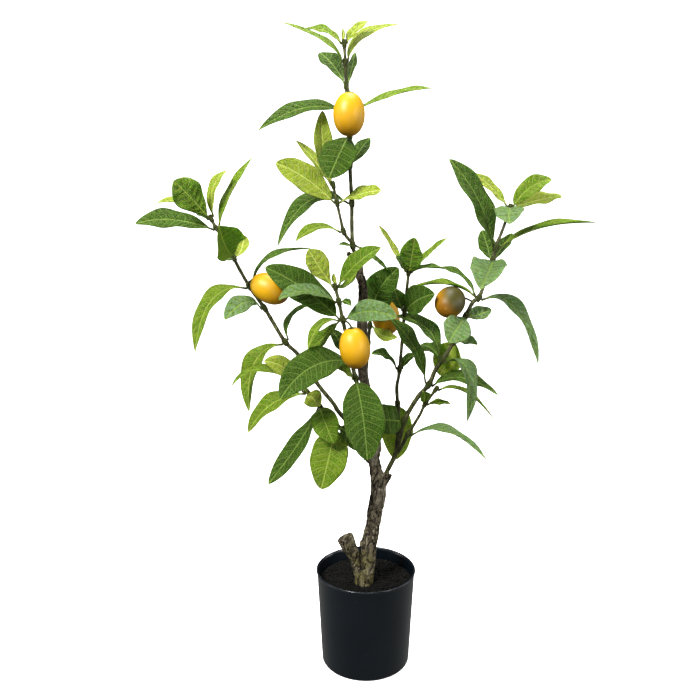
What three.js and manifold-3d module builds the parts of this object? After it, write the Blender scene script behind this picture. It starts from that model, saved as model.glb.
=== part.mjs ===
// A small citrus tree in a round pot, about 743 mm tall. A crooked trunk stands in potting soil.
// Thin boughs are set in sockets in the trunk, and each carries rings of leaves and some oval fruits.
// Every ring of leaves is one piece: a short sleeve round its stem with one to five blades.
// Millimetres, +Z up. The origin is the centre of the pot's underside.
import * as THREE from 'three';
import { mergeVertices } from 'three/addons/utils/BufferGeometryUtils.js';
import Module from 'manifold-3d';

// Driving dimensions
const GAP = 0.3; // left between pieces that touch
const POT = { height: 120, topRadius: 58.5, footRadius: 53, wall: 2.2, edge: 4, lip: 1, lipHeight: 3 };
const SOIL_DEPTH = 14; // from the rim down to the soil
const SOIL_CROWN = 2; // the soil is a little higher round the trunk
const TRUNK_FOOT = 34; // height of the trunk's buried end
const FRUIT_SIDES = 14;
const STEM_SIDES = 7;
const TRUNK_SIDES = 11;
const COLLAR = { wall: 1.5, length: 7, sides: 6 };
const BLADE = { thickness: 1.1, petiole: 2.2, fold: 0.3 };

const COLOURS = {
  bark: 0x8a8674,
  stem: 0x55553a,
  soil: 0x17150f,
  pot: 0x232327,
  fruit: 0xf0930f,
  mature: 0x2f4a22,
  mid: 0x5c7f35,
  bright: 0x537d2b,
  frosted: 0x6f9468,
  young: 0x9bb04a,
};
const ROUGHNESS = { bark: 0.85, stem: 0.7, soil: 0.95, pot: 0.45, fruit: 0.4 };
const CLOTH_ROUGHNESS = 0.5;

const wasm = await Module();
wasm.setup();
const tree = new THREE.Group();
const vector = (p) => new THREE.Vector3(...p);

// Solids: three.js geometry to a closed manifold and back again
function toSolid(geometry) {
  const bare = geometry.clone();
  bare.deleteAttribute('normal');
  bare.deleteAttribute('uv');
  const merged = mergeVertices(bare, 1e-4);
  const triangles = [];
  for (let i = 0; i < merged.index.count; i += 3) {
    const corners = [0, 1, 2].map((k) => merged.index.getX(i + k));
    if (new Set(corners).size === 3) triangles.push(...corners);
  }
  return new wasm.Manifold(new wasm.Mesh({
    numProp: 3,
    vertProperties: Float32Array.from(merged.attributes.position.array),
    triVerts: Uint32Array.from(triangles),
  }));
}

function toGeometry(solid) {
  const mesh = solid.getMesh();
  const geometry = new THREE.BufferGeometry();
  geometry.setAttribute('position', new THREE.BufferAttribute(mesh.vertProperties, 3));
  geometry.setIndex(new THREE.BufferAttribute(mesh.triVerts, 1));
  geometry.computeVertexNormals();
  return geometry;
}

function place(name, solid, finish) {
  const material = new THREE.MeshStandardMaterial({
    color: COLOURS[finish],
    roughness: ROUGHNESS[finish] ?? CLOTH_ROUGHNESS,
    metalness: 0,
  });
  const mesh = new THREE.Mesh(toGeometry(solid), material);
  mesh.name = name;
  tree.add(mesh);
}

// A closed skin over rings of points, each ring seen anticlockwise from the start of the piece
function skin(rings, tip) {
  const count = rings[0].length;
  const positions = rings.flat().flatMap((p) => p.toArray());
  const index = [];
  for (let i = 1; i < count - 1; i += 1) index.push(0, i + 1, i);
  for (let r = 0; r < rings.length - 1; r += 1) {
    for (let i = 0; i < count; i += 1) {
      const a = r * count + i;
      const b = r * count + (i + 1) % count;
      index.push(a, b, b + count, a, b + count, a + count);
    }
  }
  const last = (rings.length - 1) * count;
  if (tip) positions.push(...tip.toArray());
  for (let i = 0; tip && i < count; i += 1) index.push(last + i, last + (i + 1) % count, last + count);
  for (let i = 1; !tip && i < count - 1; i += 1) index.push(last, last + i, last + i + 1);
  const geometry = new THREE.BufferGeometry();
  geometry.setAttribute('position', new THREE.Float32BufferAttribute(positions, 3));
  geometry.setIndex(index);
  return toSolid(geometry);
}

// A tapering limb through its joints; grow makes the space that it needs in a neighbour
function limb(joints, radii, sides, grow = 0) {
  const points = joints.map(vector);
  let across = new THREE.Vector3(1, 0, 0);
  const rings = points.map((point, i) => {
    const along = directionAt(points, i);
    across = across.sub(along.clone().multiplyScalar(across.dot(along))).normalize();
    const up = along.clone().cross(across);
    const share = i / (points.length - 1);
    const radius = radiusAt(radii, share) + grow;
    return Array.from({ length: sides }, (_, k) => {
      const angle = (2 * Math.PI * k) / sides;
      return point.clone()
        .addScaledVector(across, radius * Math.cos(angle))
        .addScaledVector(up, radius * Math.sin(angle));
    });
  });
  return skin(rings);
}

function directionAt(points, i) {
  const before = points[Math.max(i - 1, 0)];
  const after = points[Math.min(i + 1, points.length - 1)];
  return after.clone().sub(before).normalize();
}

function radiusAt(radii, share) {
  const step = share * (radii.length - 1);
  const low = Math.min(Math.floor(step), radii.length - 2);
  return THREE.MathUtils.lerp(radii[low], radii[low + 1], step - low);
}

// One leaf blade, folded along its midrib, with a stalk-wide start and a pointed tip
const STATIONS = [0, 0.1, 0.25, 0.44, 0.64, 0.85];
const OUTLINES = {
  oval: (t) => Math.sin(Math.PI * t ** 1.05) ** 0.75,
  spoon: (t) => Math.sin(Math.PI * t ** 1.5) ** 0.7,
  blunt: (t) => Math.sin(Math.PI * t ** 1.05) ** 0.5,
};

function blade(joint, leaf, outward) {
  const start = joint.clone().add(outward);
  const tip = vector(leaf.tip).add(joint);
  const middle = vector(leaf.via).add(joint);
  const control = middle.clone().multiplyScalar(2).sub(start.clone().add(tip).multiplyScalar(0.5));
  const rib = new THREE.QuadraticBezierCurve3(start, control, tip);
  const across = tip.clone().sub(start).cross(vector(leaf.face)).normalize();
  const rings = STATIONS.map((t) => {
    const centre = rib.getPoint(t);
    const along = rib.getTangent(t);
    const side = across.clone().addScaledVector(along, -across.dot(along)).normalize();
    const up = side.clone().cross(along);
    const spread = OUTLINES[leaf.shape ?? 'oval'](Math.max(t - 0.06, 0) / 0.94);
    const half = Math.max((leaf.width / 2) * spread, BLADE.petiole / 2);
    const lift = half * (leaf.fold ?? BLADE.fold) * (half > BLADE.petiole ? 1 : 0);
    const thick = BLADE.thickness / 2;
    return [
      centre.clone().addScaledVector(side, half).addScaledVector(up, lift),
      centre.clone().addScaledVector(up, -thick),
      centre.clone().addScaledVector(side, -half).addScaledVector(up, lift),
      centre.clone().addScaledVector(up, thick),
    ];
  });
  return skin(rings, tip);
}

// Stems: the joints of every trunk, bough and shoot, from its root end to its tip
const STEMS = {
  trunk: {
    radii: [10, 11, 10.6, 8.6, 9.2, 8.4, 8.7, 9, 8.6, 7.8, 6.4, 6.2, 5.6, 5.1, 5, 4.8, 4.6, 3.9],
    joints: [
      [-2, -12, TRUNK_FOOT], [-2, -12, 81], [-2, -12, 106], [4, -9, 155], [5, -8, 163], [8, -6, 180], [10, -3, 197],
      [13, 0, 209], [15, 0, 222], [11, 0, 246], [9, 0, 261], [11, 0, 277], [3, 1, 325], [-4, 1, 365],
      [-5, 1, 410], [-4, 0, 459], [-8, 0, 477], [-13, 0, 500],
    ],
  },
  leader: {
    radii: [2.2, 2.1, 2, 1.8, 1.5],
    joints: [
      [-10, 0, 484], [-13, 0, 497], [-16, 0, 509], [-17, 0, 531], [-17, 0, 555], [-18, 0, 574], [-19, 0, 596],
      [-19, 2, 627], [-21, 3, 651], [-23, 2, 678], [-24, 0, 701], [-25, 0, 720],
    ],
  },
  side_shoot: {
    radii: [1.8, 1.6, 1.4],
    joints: [[-17, -1, 512], [-22, -5, 518], [-26, -7, 525], [-30, -9, 542], [-33, -10, 556], [-37, -12, 575]],
  },
  front_shoot: {
    radii: [2.5, 2.3, 2, 1.7],
    joints: [
      [9, 0, 290], [-1, -14, 324], [-13, -26, 365], [-17, -29, 386], [-22, -30, 409], [-27, -31, 432],
      [-31, -33, 452], [-35, -33, 468],
    ],
  },
  left_twig: {
    radii: [2.5, 2.1, 1.6],
    joints: [[10, 0, 252], [-10, -8, 281], [-34, -16, 306], [-53, -22, 331], [-66, -28, 349]],
  },
  left_bough: {
    radii: [2.7, 2.5, 2.2, 1.9, 1.6],
    joints: [
      [11, 0, 268], [-10, -3, 292], [-32, -6, 319], [-38, -6, 329], [-55, -6, 351], [-77, -4, 385],
      [-92, -2, 400], [-107, 0, 425], [-115, 0, 439], [-131, 0, 463], [-148, 3, 495], [-158, 5, 522],
      [-166, 5, 527], [-172, 5, 538],
    ],
  },
  right_bough: {
    radii: [3, 2.8, 2.5, 2.3, 2, 1.6],
    joints: [
      [18, 0, 227], [24, -2, 244], [34, -4, 267], [37, -5, 281], [43, -7, 308], [57, -10, 336],
      [70, -12, 353], [77, -12, 370], [84, -13, 382], [97, -14, 404], [109, -13, 432], [117, -12, 448],
      [123, -11, 452], [128, -9, 464], [138, -5, 493], [141, -3, 507], [149, 0, 528], [156, 3, 550],
    ],
  },
  inner_shoot: {
    radii: [2.3, 2, 1.7],
    joints: [[34, -4, 267], [37, 1, 295], [36, 5, 325], [35, 6, 346], [38, 8, 366], [43, 12, 433], [47, 14, 477]],
  },
  low_shoot: {
    radii: [2.1, 1.8, 1.5],
    joints: [[34, -4, 267], [39, -9, 275], [47, -16, 295], [59, -24, 320], [65, -28, 335], [76, -34, 354]],
  },
  back_twig: {
    radii: [2.2, 1.9, 1.6],
    joints: [[-4, 0, 340], [-2, 14, 368], [2, 24, 392], [4, 31, 412], [6, 36, 434]],
  },
};

// Stubs and knots left on the trunk where older boughs were cut, each from the wood outwards
const STUBS = [
  { joints: [[-3, -12, 106], [-13, -13, 139], [-25, -14, 167]], radii: [6.5, 6.8, 9.6] },
  { joints: [[-16, -13, 150], [-27, -14, 151]], radii: [5, 3.4] },
  { joints: [[15, 0, 220], [26, -3, 242]], radii: [5, 4.7] },
  { joints: [[9, 0, 252], [-2, -7, 263]], radii: [3, 2.4] },
  { joints: [[4, -9, 155], [-7, -11, 158]], radii: [6, 3.6] },
  { joints: [[-13, 0, 494], [-21, -3, 501]], radii: [3.4, 2.6] },
  { joints: [[-13, 0, 495], [-8, 3, 502]], radii: [3, 2.4] },
];

// Rings of leaves. at is the joint of the stem; tip and via are measured from that joint, via being
// where the midrib passes half way; face is the side that the blade's upper surface looks to.
const UP = [0, 0, 1];
const leaf = (tone, width, tip, via, face = UP, extra = {}) => ({ tone, width, tip, via, face, ...extra });
const DEEP = { fold: 0.62 };
const SPOON = { shape: 'spoon' };
const BLUNT = { shape: 'blunt' };
const DEEP_SPOON = { ...DEEP, ...SPOON };
const DEEP_BLUNT = { ...DEEP, ...BLUNT };

const RINGS = {
  leader: [
    { at: 11, leaves: [
      leaf('young', 14, [25, 5, 23], [10, 2, 12], [-0.4, -0.7, 0.6]),
      leaf('mid', 14, [-42, 8, 15], [-20, 5, 13], [0.2, -0.6, 0.8]),
      leaf('young', 4, [-2, 0, 15], [-1, 0, 8], [0, -1, 0]),
    ] },
    { at: 10, leaves: [
      leaf('mid', 14, [-64, -15, 38], [-20, -8, 20], [0.5, -0.4, 0.7]),
      leaf('young', 16, [57, 20, 40], [18, 12, 28], [-0.3, -0.6, 0.7]),
    ] },
    { at: 9, leaves: [
      leaf('mature', 22, [-29, 45, 37], [-13, 24, 21], [0, -0.7, 0.8], SPOON),
      leaf('mature', 14, [9, 42, 37], [6, 22, 19], [-0.6, -0.5, 0.7]),
    ] },
    { at: 8, leaves: [
      leaf('mature', 24, [-94, -20, -19], [-46, -12, 4], [0, -0.6, 0.8]),
      leaf('mid', 16, [90, 15, 25], [51, 8, 19], [-0.2, -0.4, 0.9]),
    ] },
    { at: 7, leaves: [leaf('mature', 38, [-22, -34, -44], [-13, -24, -23], [0, -0.8, 0.6], BLUNT)] },
    { at: 6, leaves: [leaf('mature', 16, [22, 32, 28], [11, 16, 15], [0.1, -0.7, 0.7])] },
    { at: 4, leaves: [leaf('mature', 25, [-81, -6, -46], [-47, 8, 2], [-0.3, -0.6, 0.7])] },
    { at: 2, leaves: [
      leaf('mature', 7, [-15, -17, 3], [-7, -9, 2], [0.5, -0.3, 0.8]),
      leaf('mature', 12, [40, 16, -30], [22, 11, -14], [0.6, -0.4, 0.7]),
    ] },
  ],
  side_shoot: [
    { at: 2, leaves: [leaf('mid', 14, [-51, -15, -9], [-28, -7, 5], [0, -0.6, 0.8], SPOON)] },
    { at: 4, leaves: [
      leaf('young', 20, [47, -14, 14], [24, -9, 10], [-0.4, -0.6, 0.7], SPOON),
      leaf('young', 30, [-64, -16, 42], [-34, -10, 27], [0.4, -0.9, 0.2], BLUNT),
    ] },
    { at: 5, leaves: [
      leaf('young', 22, [-11, 8, 77], [-11, 6, 38], [0.4, -0.9, 0.2], BLUNT),
      leaf('young', 14, [-40, 18, 46], [-20, 10, 25], [0.4, -0.6, 0.6], BLUNT),
    ] },
  ],
  front_shoot: [
    { at: 7, leaves: [
      leaf('young', 26, [-28, -13, 42], [-16, -9, 22], [0.5, -0.9, 0.1], SPOON),
      leaf('bright', 24, [49, -3, 43], [23, -5, 26], [-0.5, -0.7, 0.5]),
      leaf('mid', 14, [25, 21, 18], [13, 11, 1], [-0.4, -0.3, 0.9]),
      leaf('young', 5, [-1, 1, 15], [-1, 0, 8], [0, -1, 0]),
    ] },
    { at: 6, leaves: [
      leaf('frosted', 20, [-63, -23, 6], [-35, -13, 14], [0.2, -0.5, 0.9], BLUNT),
      leaf('mature', 10, [13, -14, -2], [7, -8, 2], [-0.2, -0.3, 0.9]),
    ] },
    { at: 5, leaves: [
      leaf('mature', 34, [-83, 0, 57], [-42, 0, 34], [0.2, -0.9, 0.3], BLUNT),
      leaf('frosted', 26, [57, -31, 8], [28, -19, 13], [-0.5, -0.7, 0.5], BLUNT),
      leaf('mid', 14, [-37, -25, -28], [-24, -14, -3], [-0.3, -0.4, 0.8]),
      leaf('bright', 18, [-38, 3, -36], [-22, 1, -21], [-0.5, -0.7, 0.5]),
    ] },
    { at: 3, leaves: [
      leaf('mature', 38, [-76, -42, -32], [-43, -30, 0], [0.2, -0.8, 0.6], BLUNT),
      leaf('mature', 18, [-23, 18, 31], [-12, 10, 17], [0.3, -0.7, 0.6]),
    ] },
    { at: 2, leaves: [
      leaf('mature', 46, [13, -32, -85], [8, -26, -35], [0.1, -0.9, 0.4], BLUNT),
      leaf('mid', 16, [-23, -12, 17], [-10, -10, 11], [0.7, -0.4, 0.6]),
    ] },
  ],
  left_twig: [
    { at: 4, leaves: [
      leaf('mid', 24, [-66, -14, -43], [-39, -12, -10], [-0.3, -0.6, 0.7]),
      leaf('young', 22, [14, -16, -12], [6, -10, -4], [-0.3, -0.7, 0.6]),
      leaf('young', 9, [-8, -15, 9], [-4, -8, 6], [0, -0.5, 1]),
      leaf('young', 22, [-47, -12, 38], [-24, -8, 29], [0.5, -0.8, 0.3]),
      leaf('mid', 18, [-83, -17, 11], [-47, -14, 30], [0.2, -0.2, 1]),
    ] },
    { at: 3, leaves: [
      leaf('bright', 30, [16, -28, -35], [6, -20, -12], [-0.1, -0.8, 0.6], BLUNT),
      leaf('mature', 24, [-59, -10, -90], [-22, -12, -37], [-0.4, -0.8, 0.4], SPOON),
    ] },
    { at: 2, leaves: [
      leaf('mid', 42, [-17, -38, -62], [-8, -27, -26], [0.1, -0.9, 0.5], BLUNT),
      leaf('mature', 20, [22, -6, -28], [14, -10, -8], [0.3, -1, 0.3]),
    ] },
  ],
  left_bough: [
    { at: 6, leaves: [
      leaf('mid', 26, [-40, -24, -75], [-34, -16, -20], [-0.5, -0.7, 0.5]),
      leaf('mature', 18, [34, 20, 42], [6, 10, 27], [-0.7, -0.3, 0.7]),
    ] },
    { at: 8, leaves: [leaf('frosted', 24, [-40, -32, -7], [-19, -13, 9], [0.3, -0.5, 0.8], SPOON)] },
    { at: 9, leaves: [
      leaf('mid', 24, [-59, -26, -69], [-40, -18, -12], [-0.4, -0.7, 0.6]),
      leaf('mature', 16, [69, 18, 40], [23, 10, 32], [-0.4, -0.3, 0.8]),
    ] },
    { at: 10, leaves: [
      leaf('mature', 38, [-6, -60, 41], [-5, -29, 18], [0.7, -0.4, -0.5], DEEP_SPOON),
      leaf('young', 18, [8, 32, 21], [7, 16, 8], [-0.1, -0.5, 0.8], BLUNT),
      leaf('frosted', 14, [-14, -17, 1], [-5, -9, 0], [0.3, -0.2, 0.9]),
    ] },
    { at: 12, leaves: [
      leaf('mature', 26, [-84, -23, 7], [-46, -13, 11], [0.2, -0.7, 0.7]),
      leaf('mid', 20, [40, 9, 76], [14, 5, 35], [-0.8, -0.5, 0.5]),
    ] },
    { at: 13, leaves: [
      leaf('bright', 34, [-34, -25, 42], [-17, -15, 22], [0.5, -0.8, -0.1], SPOON),
      leaf('young', 14, [19, 1, 51], [3, 1, 32], [-0.6, -0.8, 0.2], BLUNT),
      leaf('young', 18, [-60, 9, 16], [-31, 7, 16], [0.2, -0.4, 0.9]),
      leaf('frosted', 12, [-25, -19, 13], [-14, -10, 7], [0.6, -0.3, 0.7]),
    ] },
  ],
  right_bough: [
    { at: 4, leaves: [leaf('mature', 36, [-42, -23, 10], [-19, -14, 6], [0.5, -0.7, 0.5], BLUNT)] },
    { at: 6, leaves: [
      leaf('mature', 24, [-46, -20, 80], [-19, -12, 48], [0.7, -0.6, 0.3]),
      leaf('mature', 24, [78, -5, -11], [37, -3, 9], [0.1, -0.4, 0.9]),
    ] },
    { at: 8, leaves: [
      leaf('frosted', 24, [26, -31, -63], [26, -20, -7], [0.6, -0.6, 0.5]),
      leaf('mature', 22, [-51, 25, 45], [-16, 13, 33], [0.3, -0.6, 0.7]),
      leaf('mature', 18, [-23, 35, 8], [-12, 19, 10], [-0.2, -0.3, 0.9]),
    ] },
    { at: 9, leaves: [
      leaf('frosted', 14, [23, -22, 1], [12, -12, 3], [-0.4, -0.3, 0.9]),
      leaf('young', 36, [-12, 26, -47], [-3, 20, -23], [-0.5, -0.8, -0.3], BLUNT),
    ] },
    { at: 10, leaves: [
      leaf('frosted', 32, [-24, -53, -18], [-14, -36, -7], [0.4, -0.4, 0.8]),
      leaf('frosted', 20, [30, 11, 6], [15, 6, 1], [0.1, -0.6, 0.8], BLUNT),
    ] },
    { at: 12, leaves: [
      leaf('frosted', 22, [66, -17, -71], [40, -7, -10], [0.5, -0.6, 0.6]),
      leaf('mature', 16, [-53, 23, 30], [-22, 13, 26], [0.4, -0.3, 0.9]),
      leaf('mid', 16, [-73, 0, 12], [-35, 1, 16], [0.2, -0.1, 1]),
    ] },
    { at: 14, leaves: [
      leaf('frosted', 38, [-21, -59, -22], [-9, -29, -9], [0, -0.3, 0.9], DEEP_BLUNT),
      leaf('mature', 20, [-10, 21, 31], [-5, 12, 15], [0, -0.8, 0.6], BLUNT),
      leaf('mature', 16, [25, 26, 27], [13, 15, 14], [-0.3, -0.5, 0.8]),
    ] },
    { at: 15, leaves: [
      leaf('mature', 30, [-55, -13, 95], [-22, -9, 52], [0.6, -0.8, 0.2], BLUNT),
      leaf('mid', 20, [109, 3, 27], [49, 1, 22], [-0.2, -0.1, 1]),
    ] },
    { at: 17, leaves: [
      leaf('young', 16, [-41, -5, 37], [-21, -3, 21], [0.5, -0.7, 0.5]),
      leaf('mid', 22, [42, -9, 30], [20, -5, 22], [-0.5, -0.8, 0.4], BLUNT),
      leaf('young', 20, [60, 17, 11], [34, 9, 8], [0, -0.5, 0.8], BLUNT),
      leaf('frosted', 32, [-5, -31, -15], [-4, -17, -5], [-0.1, -0.4, 0.9], BLUNT),
    ] },
  ],
  inner_shoot: [
    { at: 2, leaves: [leaf('young', 38, [0, 23, -77], [1, 19, -34], [-0.1, -1, -0.3], BLUNT)] },
    { at: 4, leaves: [
      leaf('mature', 16, [-33, -18, 22], [-16, -9, 18], [0.6, -0.3, 0.7]),
      leaf('mature', 14, [19, 6, 17], [8, 3, 10], [-0.5, -0.5, 0.7]),
    ] },
    { at: 5, leaves: [
      leaf('mature', 32, [29, -48, 28], [12, -25, 17], [-0.9, -0.5, 0], BLUNT),
      leaf('mature', 18, [-12, 0, 26], [-8, -1, 14], [0.5, -0.9, 0.2]),
    ] },
    { at: 6, leaves: [
      leaf('mature', 14, [34, -22, 9], [15, -10, 7], [-0.3, -0.1, 0.9]),
      leaf('young', 12, [-34, 8, 52], [-19, 5, 29], [0.7, -0.5, 0.5]),
      leaf('bright', 26, [4, -28, 42], [2, -15, 20], [-0.4, -0.8, -0.5], BLUNT),
      leaf('frosted', 12, [-16, -18, 20], [-8, -9, 11], [0.8, -0.6, 0.1]),
      leaf('mid', 12, [45, 24, 36], [25, 13, 21], [-0.5, -0.3, 0.8]),
    ] },
  ],
  low_shoot: [
    { at: 2, leaves: [leaf('frosted', 18, [89, -13, -26], [44, -7, 7], [0.2, -0.2, 0.9])] },
    { at: 4, leaves: [
      leaf('bright', 13, [-4, -14, 19], [-1, -6, 10], [0.4, -0.8, -0.5]),
      leaf('bright', 10, [29, 5, -1], [15, 3, 1], [0.1, -0.4, 0.9]),
          ] },
    { at: 5, leaves: [leaf('mid', 14, [66, 4, -36], [33, 5, -4], [0.5, -0.1, 0.9])] },
  ],
  back_twig: [
    { at: 3, leaves: [
      leaf('mature', 38, [32, -10, 69], [8, -6, 38], [-0.1, -1, -0.1], BLUNT),
      leaf('young', 18, [32, -8, -12], [16, -5, -11], [0.1, -0.6, 0.8]),
    ] },
    { at: 4, leaves: [
      leaf('mature', 16, [-23, 48, -15], [-13, 26, -5], [-0.7, -0.1, 0.7]),
      leaf('mid', 26, [20, 58, 26], [9, 30, 20], [0, 0.2, 1]),
    ] },
    { at: 2, leaves: [
      leaf('mature', 26, [-22, 50, -38], [-14, 30, -6], [0, 0.8, 0.7]),
      leaf('mature', 14, [-4, 46, -56], [-1, 27, -21], [-0.8, -0.5, -0.3]),
    ] },
  ],
};

// Fruits: the centre, the way the blossom end points, and the stem joint that the stalk leaves
const FRUITS = [
  { name: 'fruit_top', stem: 'leader', at: 9, centre: [-20, -20, 648], points: [0, -0.1, -1] },
  { name: 'fruit_left', stem: 'left_bough', at: 9, centre: [-107, -13, 463], points: [0.9, -0.2, -0.35] },
  { name: 'fruit_front', stem: 'front_shoot', at: 5, centre: [-14, -52, 405], points: [0.15, -0.1, -1] },
  { name: 'fruit_right', stem: 'right_bough', at: 11, centre: [91, -18, 449], points: [-0.35, -1, -0.2] },
  { name: 'fruit_back', stem: 'back_twig', at: 4, centre: [23, 47, 420], points: [0.2, 0.1, -1] },
];
const FRUIT = { length: 45, radius: 16.5, dimple: 2 };

function fruitSolid(fruit) {
  const half = FRUIT.length / 2;
  const profile = [];
  const steps = 10;
  for (let i = 0; i <= steps; i += 1) {
    const angle = Math.PI * (i / steps) - Math.PI / 2;
    const radius = FRUIT.radius * Math.cos(angle) ** 0.9;
    const dip = FRUIT.dimple * Math.max(0, Math.sin(angle) - 0.93) / 0.07;
    const rim = i === 0 || i === steps ? 0 : radius;
    profile.push(new THREE.Vector2(rim, half * Math.sin(angle) - dip));
  }
  const body = new THREE.LatheGeometry(profile, FRUIT_SIDES);
  const turn = new THREE.Quaternion().setFromUnitVectors(
    new THREE.Vector3(0, -1, 0),
    vector(fruit.points).normalize(),
  );
  body.applyQuaternion(turn);
  body.translate(...fruit.centre);
  return toSolid(body);
}

function stalkSolid(fruit, grow = 0) {
  const root = vector(STEMS[fruit.stem].joints[fruit.at]);
  const out = vector(fruit.points).normalize().multiplyScalar(-1);
  const neck = vector(fruit.centre).addScaledVector(out, FRUIT.length / 2 + 5);
  const end = vector(fruit.centre).addScaledVector(out, FRUIT.length / 2 - FRUIT.dimple + GAP + 0.3);
  return limb([root, neck, end].map((p) => p.toArray()), [1.1, 1.2, 1.6], COLLAR.sides, grow);
}

// Pot and soil
function lathe(outline, segments) {
  const geometry = new THREE.LatheGeometry(outline.map((p) => new THREE.Vector2(...p)), segments);
  geometry.rotateX(Math.PI / 2);
  return toSolid(geometry);
}

const POT_SEGMENTS = 40;
const potRadiusAt = (z) => POT.footRadius + (POT.topRadius - POT.footRadius) * (z / POT.height);

function potSolid() {
  const { height, wall, edge, lip, lipHeight } = POT;
  const floorCorner = [0.3, 0.6, 0.9].map((share) => {
    const angle = share * Math.PI / 2;
    return [POT.footRadius - edge + edge * Math.sin(angle), edge - edge * Math.cos(angle)];
  });
  const lipBase = height - lipHeight;
  return lathe([
    [0, 0],
    [POT.footRadius - edge, 0],
    ...floorCorner,
    [potRadiusAt(lipBase), lipBase],
    [potRadiusAt(lipBase) + lip, lipBase + lip],
    [potRadiusAt(height) + lip, height - lip / 2],
    [potRadiusAt(height), height],
    [potRadiusAt(height) - wall + lip / 2, height],
    [potRadiusAt(lipBase) - wall, lipBase],
    [potRadiusAt(edge + wall) - wall, edge + wall],
    [POT.footRadius - edge - wall, wall],
    [0, wall],
  ], POT_SEGMENTS);
}

function soilSolid() {
  const top = POT.height - SOIL_DEPTH;
  const bottom = POT.wall + GAP;
  const edge = POT.edge + POT.wall;
  return lathe([
    [0, bottom],
    [POT.footRadius - edge - GAP, bottom],
    [potRadiusAt(edge) - POT.wall - GAP, edge],
    [potRadiusAt(top) - POT.wall - GAP, top],
    [POT.footRadius * 0.6, top + SOIL_CROWN / 2],
    [0, top + SOIL_CROWN],
  ], POT_SEGMENTS);
}

// The parts, put together: what grows out of a thicker piece is joined to it or has a socket in it
const FORKS = { leader: ['side_shoot'], right_bough: ['inner_shoot', 'low_shoot'] };
const SET_IN_TRUNK = ['leader', 'front_shoot', 'left_twig', 'left_bough', 'right_bough', 'back_twig'];

function bough(name, grow = 0) {
  const parts = [name, ...(FORKS[name] ?? [])];
  return parts
    .map((part) => limb(STEMS[part].joints, STEMS[part].radii, STEM_SIDES, grow))
    .reduce((whole, part) => whole.add(part));
}

function trunkBody(grow = 0) {
  const stem = limb(STEMS.trunk.joints, STEMS.trunk.radii, TRUNK_SIDES, grow);
  const stubs = STUBS.map((stub) => limb(stub.joints, stub.radii, STEM_SIDES, grow));
  return stubs.reduce((whole, stub) => whole.add(stub), stem);
}

function trunkSolid() {
  return SET_IN_TRUNK.reduce((whole, name) => whole.subtract(bough(name, GAP)), trunkBody());
}

function boughWithStalks(name, grow = 0) {
  return FRUITS.filter((fruit) => fruit.stem === name)
    .reduce((whole, fruit) => whole.add(stalkSolid(fruit, grow)), bough(name, grow));
}

function ringSolid(stemName, ring) {
  const stem = STEMS[stemName];
  const points = stem.joints.map(vector);
  const start = points[ring.at];
  const along = directionAt(points, ring.at).multiplyScalar(COLLAR.length / 2);
  const ends = [start.clone().sub(along).toArray(), start.clone().add(along).toArray()];
  const radius = radiusAt(stem.radii, ring.at / (points.length - 1)) + GAP + COLLAR.wall;
  const collar = limb(ends, [radius, radius], COLLAR.sides);
  return ring.leaves.reduce((whole, row) => {
    const outward = vector(row.via).projectOnPlane(along).normalize();
    return whole.add(blade(start, row, outward.multiplyScalar(radius - COLLAR.wall / 2)));
  }, collar);
}

function ownerOf(stemName) {
  return Object.keys(FORKS).find((name) => FORKS[name].includes(stemName)) ?? stemName;
}

place('pot', potSolid(), 'pot');
place('soil', soilSolid().subtract(trunkBody(GAP)), 'soil');
place('trunk', trunkSolid(), 'bark');
SET_IN_TRUNK.forEach((name) => place(name, boughWithStalks(name), 'stem'));
FRUITS.forEach((fruit) => place(fruit.name, fruitSolid(fruit), 'fruit'));
Object.entries(RINGS).forEach(([stemName, rings]) => {
  const space = boughWithStalks(ownerOf(stemName), GAP);
  rings.forEach((ring, i) => {
    place(`${stemName}_leaves_${i + 1}`, ringSolid(stemName, ring).subtract(space), ring.leaves[0].tone);
  });
});

export default tree;
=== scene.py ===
import math

import bpy
import numpy as np
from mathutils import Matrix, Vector, noise


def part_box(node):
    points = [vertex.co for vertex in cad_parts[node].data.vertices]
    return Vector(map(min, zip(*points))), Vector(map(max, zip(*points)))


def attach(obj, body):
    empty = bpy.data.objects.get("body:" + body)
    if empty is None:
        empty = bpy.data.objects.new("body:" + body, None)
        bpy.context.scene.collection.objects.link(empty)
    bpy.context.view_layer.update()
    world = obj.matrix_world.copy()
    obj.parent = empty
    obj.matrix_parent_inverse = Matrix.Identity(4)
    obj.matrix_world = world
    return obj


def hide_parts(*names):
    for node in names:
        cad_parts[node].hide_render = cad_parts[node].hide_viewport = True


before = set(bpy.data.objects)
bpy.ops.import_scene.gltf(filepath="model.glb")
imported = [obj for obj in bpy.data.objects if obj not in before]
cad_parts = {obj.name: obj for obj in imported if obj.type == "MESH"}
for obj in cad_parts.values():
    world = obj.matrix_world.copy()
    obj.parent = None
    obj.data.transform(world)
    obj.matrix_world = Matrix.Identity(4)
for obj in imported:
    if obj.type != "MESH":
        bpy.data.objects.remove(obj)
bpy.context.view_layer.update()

# The looks of a small potted citrus tree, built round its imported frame. Metres, +Z up; routes and leaf rows
# are in millimetres. The sections follow the tree as it is put together: pot, soil, trunk, bough by bough.

# ---------------------------------------------------------------- studio
# A pale sheet that lies on the table and curves up behind the tree, lit by large soft boxes.
# The camera stands in front at the height of the upper leaves and looks a little down.
scene = bpy.context.scene
scene.view_settings.view_transform = "Standard"
scene.view_settings.look = "Medium High Contrast"

camera = bpy.data.objects.new("camera", bpy.data.cameras.new("camera"))
camera.data.lens = 45.3
camera.location = (-0.019, -0.970, 0.625)
camera.rotation_euler = (math.radians(90 - 13.6), 0, 0)
scene.collection.objects.link(camera)
scene.camera = camera


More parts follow.
